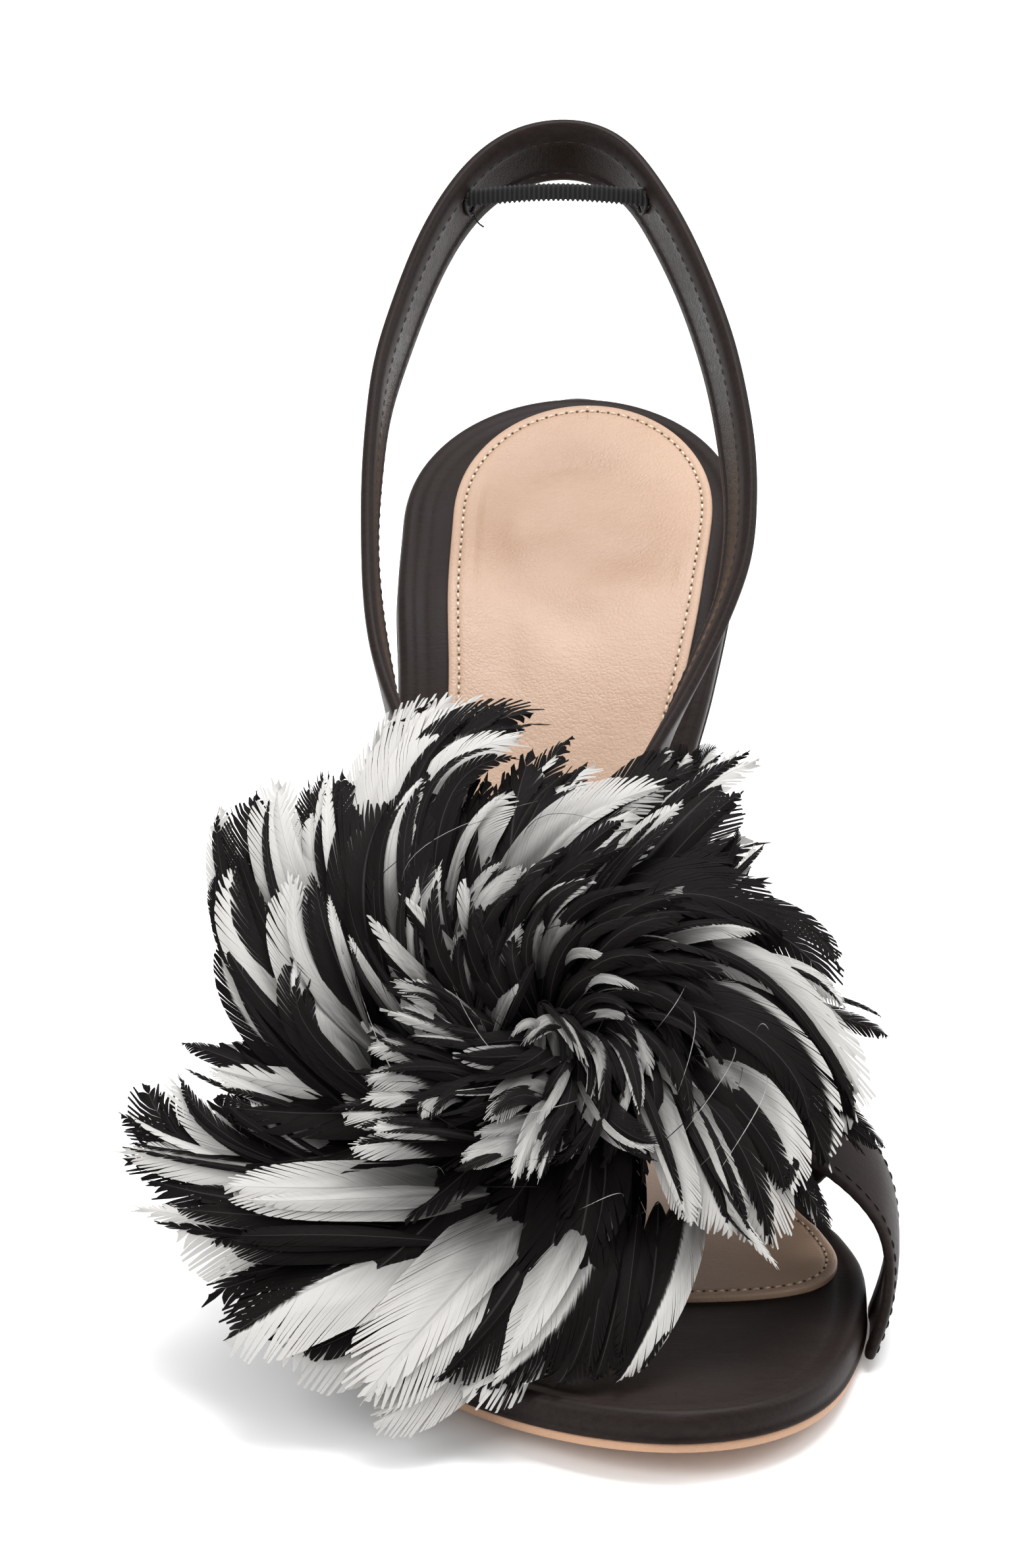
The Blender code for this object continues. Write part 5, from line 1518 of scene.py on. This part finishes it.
def colour_property(name, description, default):
    """Colour that a user may change."""
    return bpy.props.FloatVectorProperty(name=name, description=description, subtype="COLOR",
                                         size=4, min=0.0, max=1.0, default=default)


class SandalSettings(bpy.types.PropertyGroup):
    """Sizes and colours of the sandal's finish."""

    satin: colour_property("Satin", "Satin of the upper, platform and heel",
                           (0.0135, 0.0092, 0.0084, 1))
    sock: colour_property("Sock lining", "Nude leather under the foot", (0.39, 0.262, 0.186, 1))
    sole: colour_property("Outsole", "Leather of the outsole", (0.46, 0.27, 0.165, 1))
    lining: colour_property("Lining", "Leather inside the straps", (0.014, 0.009, 0.007, 1))
    pale: colour_property("Pale feather", "Pale parts of the feathers", (0.42, 0.41, 0.395, 1))
    dark: colour_property("Dark feather", "Dark parts of the feathers", (0.0045, 0.0034, 0.0034, 1))
    stitch_pitch: bpy.props.FloatProperty(
        name="Stitch pitch", description="Distance from stitch to stitch", default=1.8 * MM,
        min=1.0 * MM, unit="LENGTH")
    fill: bpy.props.IntProperty(
        name="Under feathers", description="Feathers under the ones that show most", default=330, min=20)
    tufts: bpy.props.IntProperty(
        name="Short feathers", description="Short curled feathers round the middle", default=230, min=10)
    hairs: bpy.props.IntProperty(
        name="Filaments", description="Loose filaments", default=70, min=0)


class Piece(bpy.types.Operator):
    """Base of the operators that build a piece"""

    bl_options = {"REGISTER", "UNDO"}

    def execute(self, context):
        """Build the piece from the scene's settings."""
        self.build(context.scene.sandal)
        return {"FINISHED"}


class SANDAL_OT_sole(Piece):
    """Build the outsole, platform and sock lining with its stitches"""

    bl_idname = "sandal.sole"
    bl_label = "Sole"

    def build(self, settings):
        place(build_platform(satin("satin_platform", settings.satin)), "black_satin", "platform")
        sole = leather("leather_outsole", settings.sole, shade(settings.sole, 0.72), 1900.0, 0.45)
        place(build_outsole(sole), "outsole_leather", "outsole")
        # The darker colour serves both the cloudy tone and the painted shade in the sock's hollows.
        tan = tuple(np.multiply(settings.sock, (0.78, 0.7, 0.63, 1)))
        nude = leather("leather_sock", settings.sock, tan, 1300.0, 0.4, 0.002, painted_shade=hollow_painted_shade)
        place(build_sock(nude), "nude_leather", "sock_lining")
        pitch = settings.stitch_pitch
        line, normal = sock_seam()
        cream = thread("thread_cream", (0.62, 0.5, 0.38, 1))
        place(stitch_row("sock_stitches", line, normal, pitch, 0.66 * pitch, 0.22 * MM, cream),
              "nude_leather")
        # Painted shade: dark spindles between the stitches stand for the shade in the stitch holes.
        hole = thread("stitch_hole_shade", (0.11, 0.055, 0.03, 1))
        place(stitch_row("sock_holes", line, normal, pitch, 0.5 * MM, 0.2 * MM, hole, 0.1, 0.0),
              "nude_leather")


class SANDAL_OT_heel(Piece):
    """Build the wrapped heel and its top piece"""

    bl_idname = "sandal.heel"
    bl_label = "Heel"

    def build(self, settings):
        place(build_heel(satin("satin_heel", settings.satin)), "heel_satin", "heel")
        place(build_top_piece(plastic("plastic_tip", (0.012, 0.012, 0.012, 1))),
              "top_piece_plastic", "heel_top_piece")


class SANDAL_OT_straps(Piece):
    """Build the vamp straps and the sling with their linings and stitches"""

    bl_idname = "sandal.straps"
    bl_label = "Straps"

    def build(self, settings):
        cloth = satin("satin_straps", settings.satin)
        inner = leather("leather_lining", settings.lining, shade(settings.lining, 0.5), 1700.0, 0.28,
                        index=1.25)
        dark = thread("thread_black", (0.016, 0.013, 0.013, 1))
        upper, rows = build_vamp_strap("vamp_strap_upper", STRAP_FRONT_MEDIAL, UPPER_WALL,
                                       STRAP_REST, [cloth, inner])
        place(upper, "strap_satin", "upper_straps")
        lower, more = build_vamp_strap("vamp_strap_lower", STRAP_FRONT_LATERAL, LOWER_WALL, 0.0,
                                       [cloth, inner])
        place(lower, "strap_satin", "upper_straps")
        sling, seams = build_sling([cloth, inner])
        place(sling, "strap_satin", "upper_straps")
        for number, (line, normal) in enumerate(rows + more + seams):
            place(stitch_row(f"strap_stitches_{number + 1}", line, normal, 2.1 * MM, 1.5 * MM,
                             0.13 * MM, dark), "strap_satin")


class SANDAL_OT_elastic(Piece):
    """Build the elastic, the sewn slots it goes into and its thread tail"""

    bl_idname = "sandal.elastic"
    bl_label = "Elastic"

    def build(self, settings):
        place(build_tape(elastic("elastic_black", (0.012, 0.012, 0.013, 1))),
              "elastic_black", "elastic_tape")
        dark = thread("thread_slot", (0.014, 0.012, 0.012, 1))
        for number, spot in enumerate(tape_ends()):
            place(build_slot(f"slot_edge_{number + 1}", *spot, dark), "elastic_black")
        place(build_thread_tail(*tape_ends()[0], dark), "elastic_black")


class SANDAL_OT_pompom(Piece):
    """Build the feather pompom"""

    bl_idname = "sandal.pompom"
    bl_label = "Feather pompom"

    def build(self, settings):
        build_pompom(settings)


class SANDAL_OT_stage(Piece):
    """Set up the floor, the lights and the camera"""

    bl_idname = "sandal.stage"
    bl_label = "Stage"

    def build(self, settings):
        build_stage()


class SANDAL_PT_panel(bpy.types.Panel):
    """Sidebar panel with the sandal's sizes, colours and pieces"""

    bl_label = "Sandal"
    bl_space_type = "VIEW_3D"
    bl_region_type = "UI"
    bl_category = "Sandal"

    def draw(self, context):
        """List the settings and a button for each piece."""
        for key in SandalSettings.__annotations__:
            self.layout.prop(context.scene.sandal, key)
        for piece in PIECES:
            self.layout.operator(piece.bl_idname)


PIECES = (SANDAL_OT_sole, SANDAL_OT_heel, SANDAL_OT_straps, SANDAL_OT_elastic,
          SANDAL_OT_pompom, SANDAL_OT_stage)
CLASSES = (SandalSettings, *PIECES, SANDAL_PT_panel)


def register():
    """Register the classes and the settings."""
    for kind in CLASSES:
        bpy.utils.register_class(kind)
    bpy.types.Scene.sandal = bpy.props.PointerProperty(type=SandalSettings)


def unregister():
    """Take the settings and the classes away again."""
    del bpy.types.Scene.sandal
    for kind in reversed(CLASSES):
        bpy.utils.unregister_class(kind)


def main():
    """Build every piece."""
    register()
    bpy.ops.sandal.sole()
    bpy.ops.sandal.heel()
    bpy.ops.sandal.straps()
    bpy.ops.sandal.elastic()
    bpy.ops.sandal.pompom()
    bpy.ops.sandal.stage()


if __name__ == "__main__":
    main()
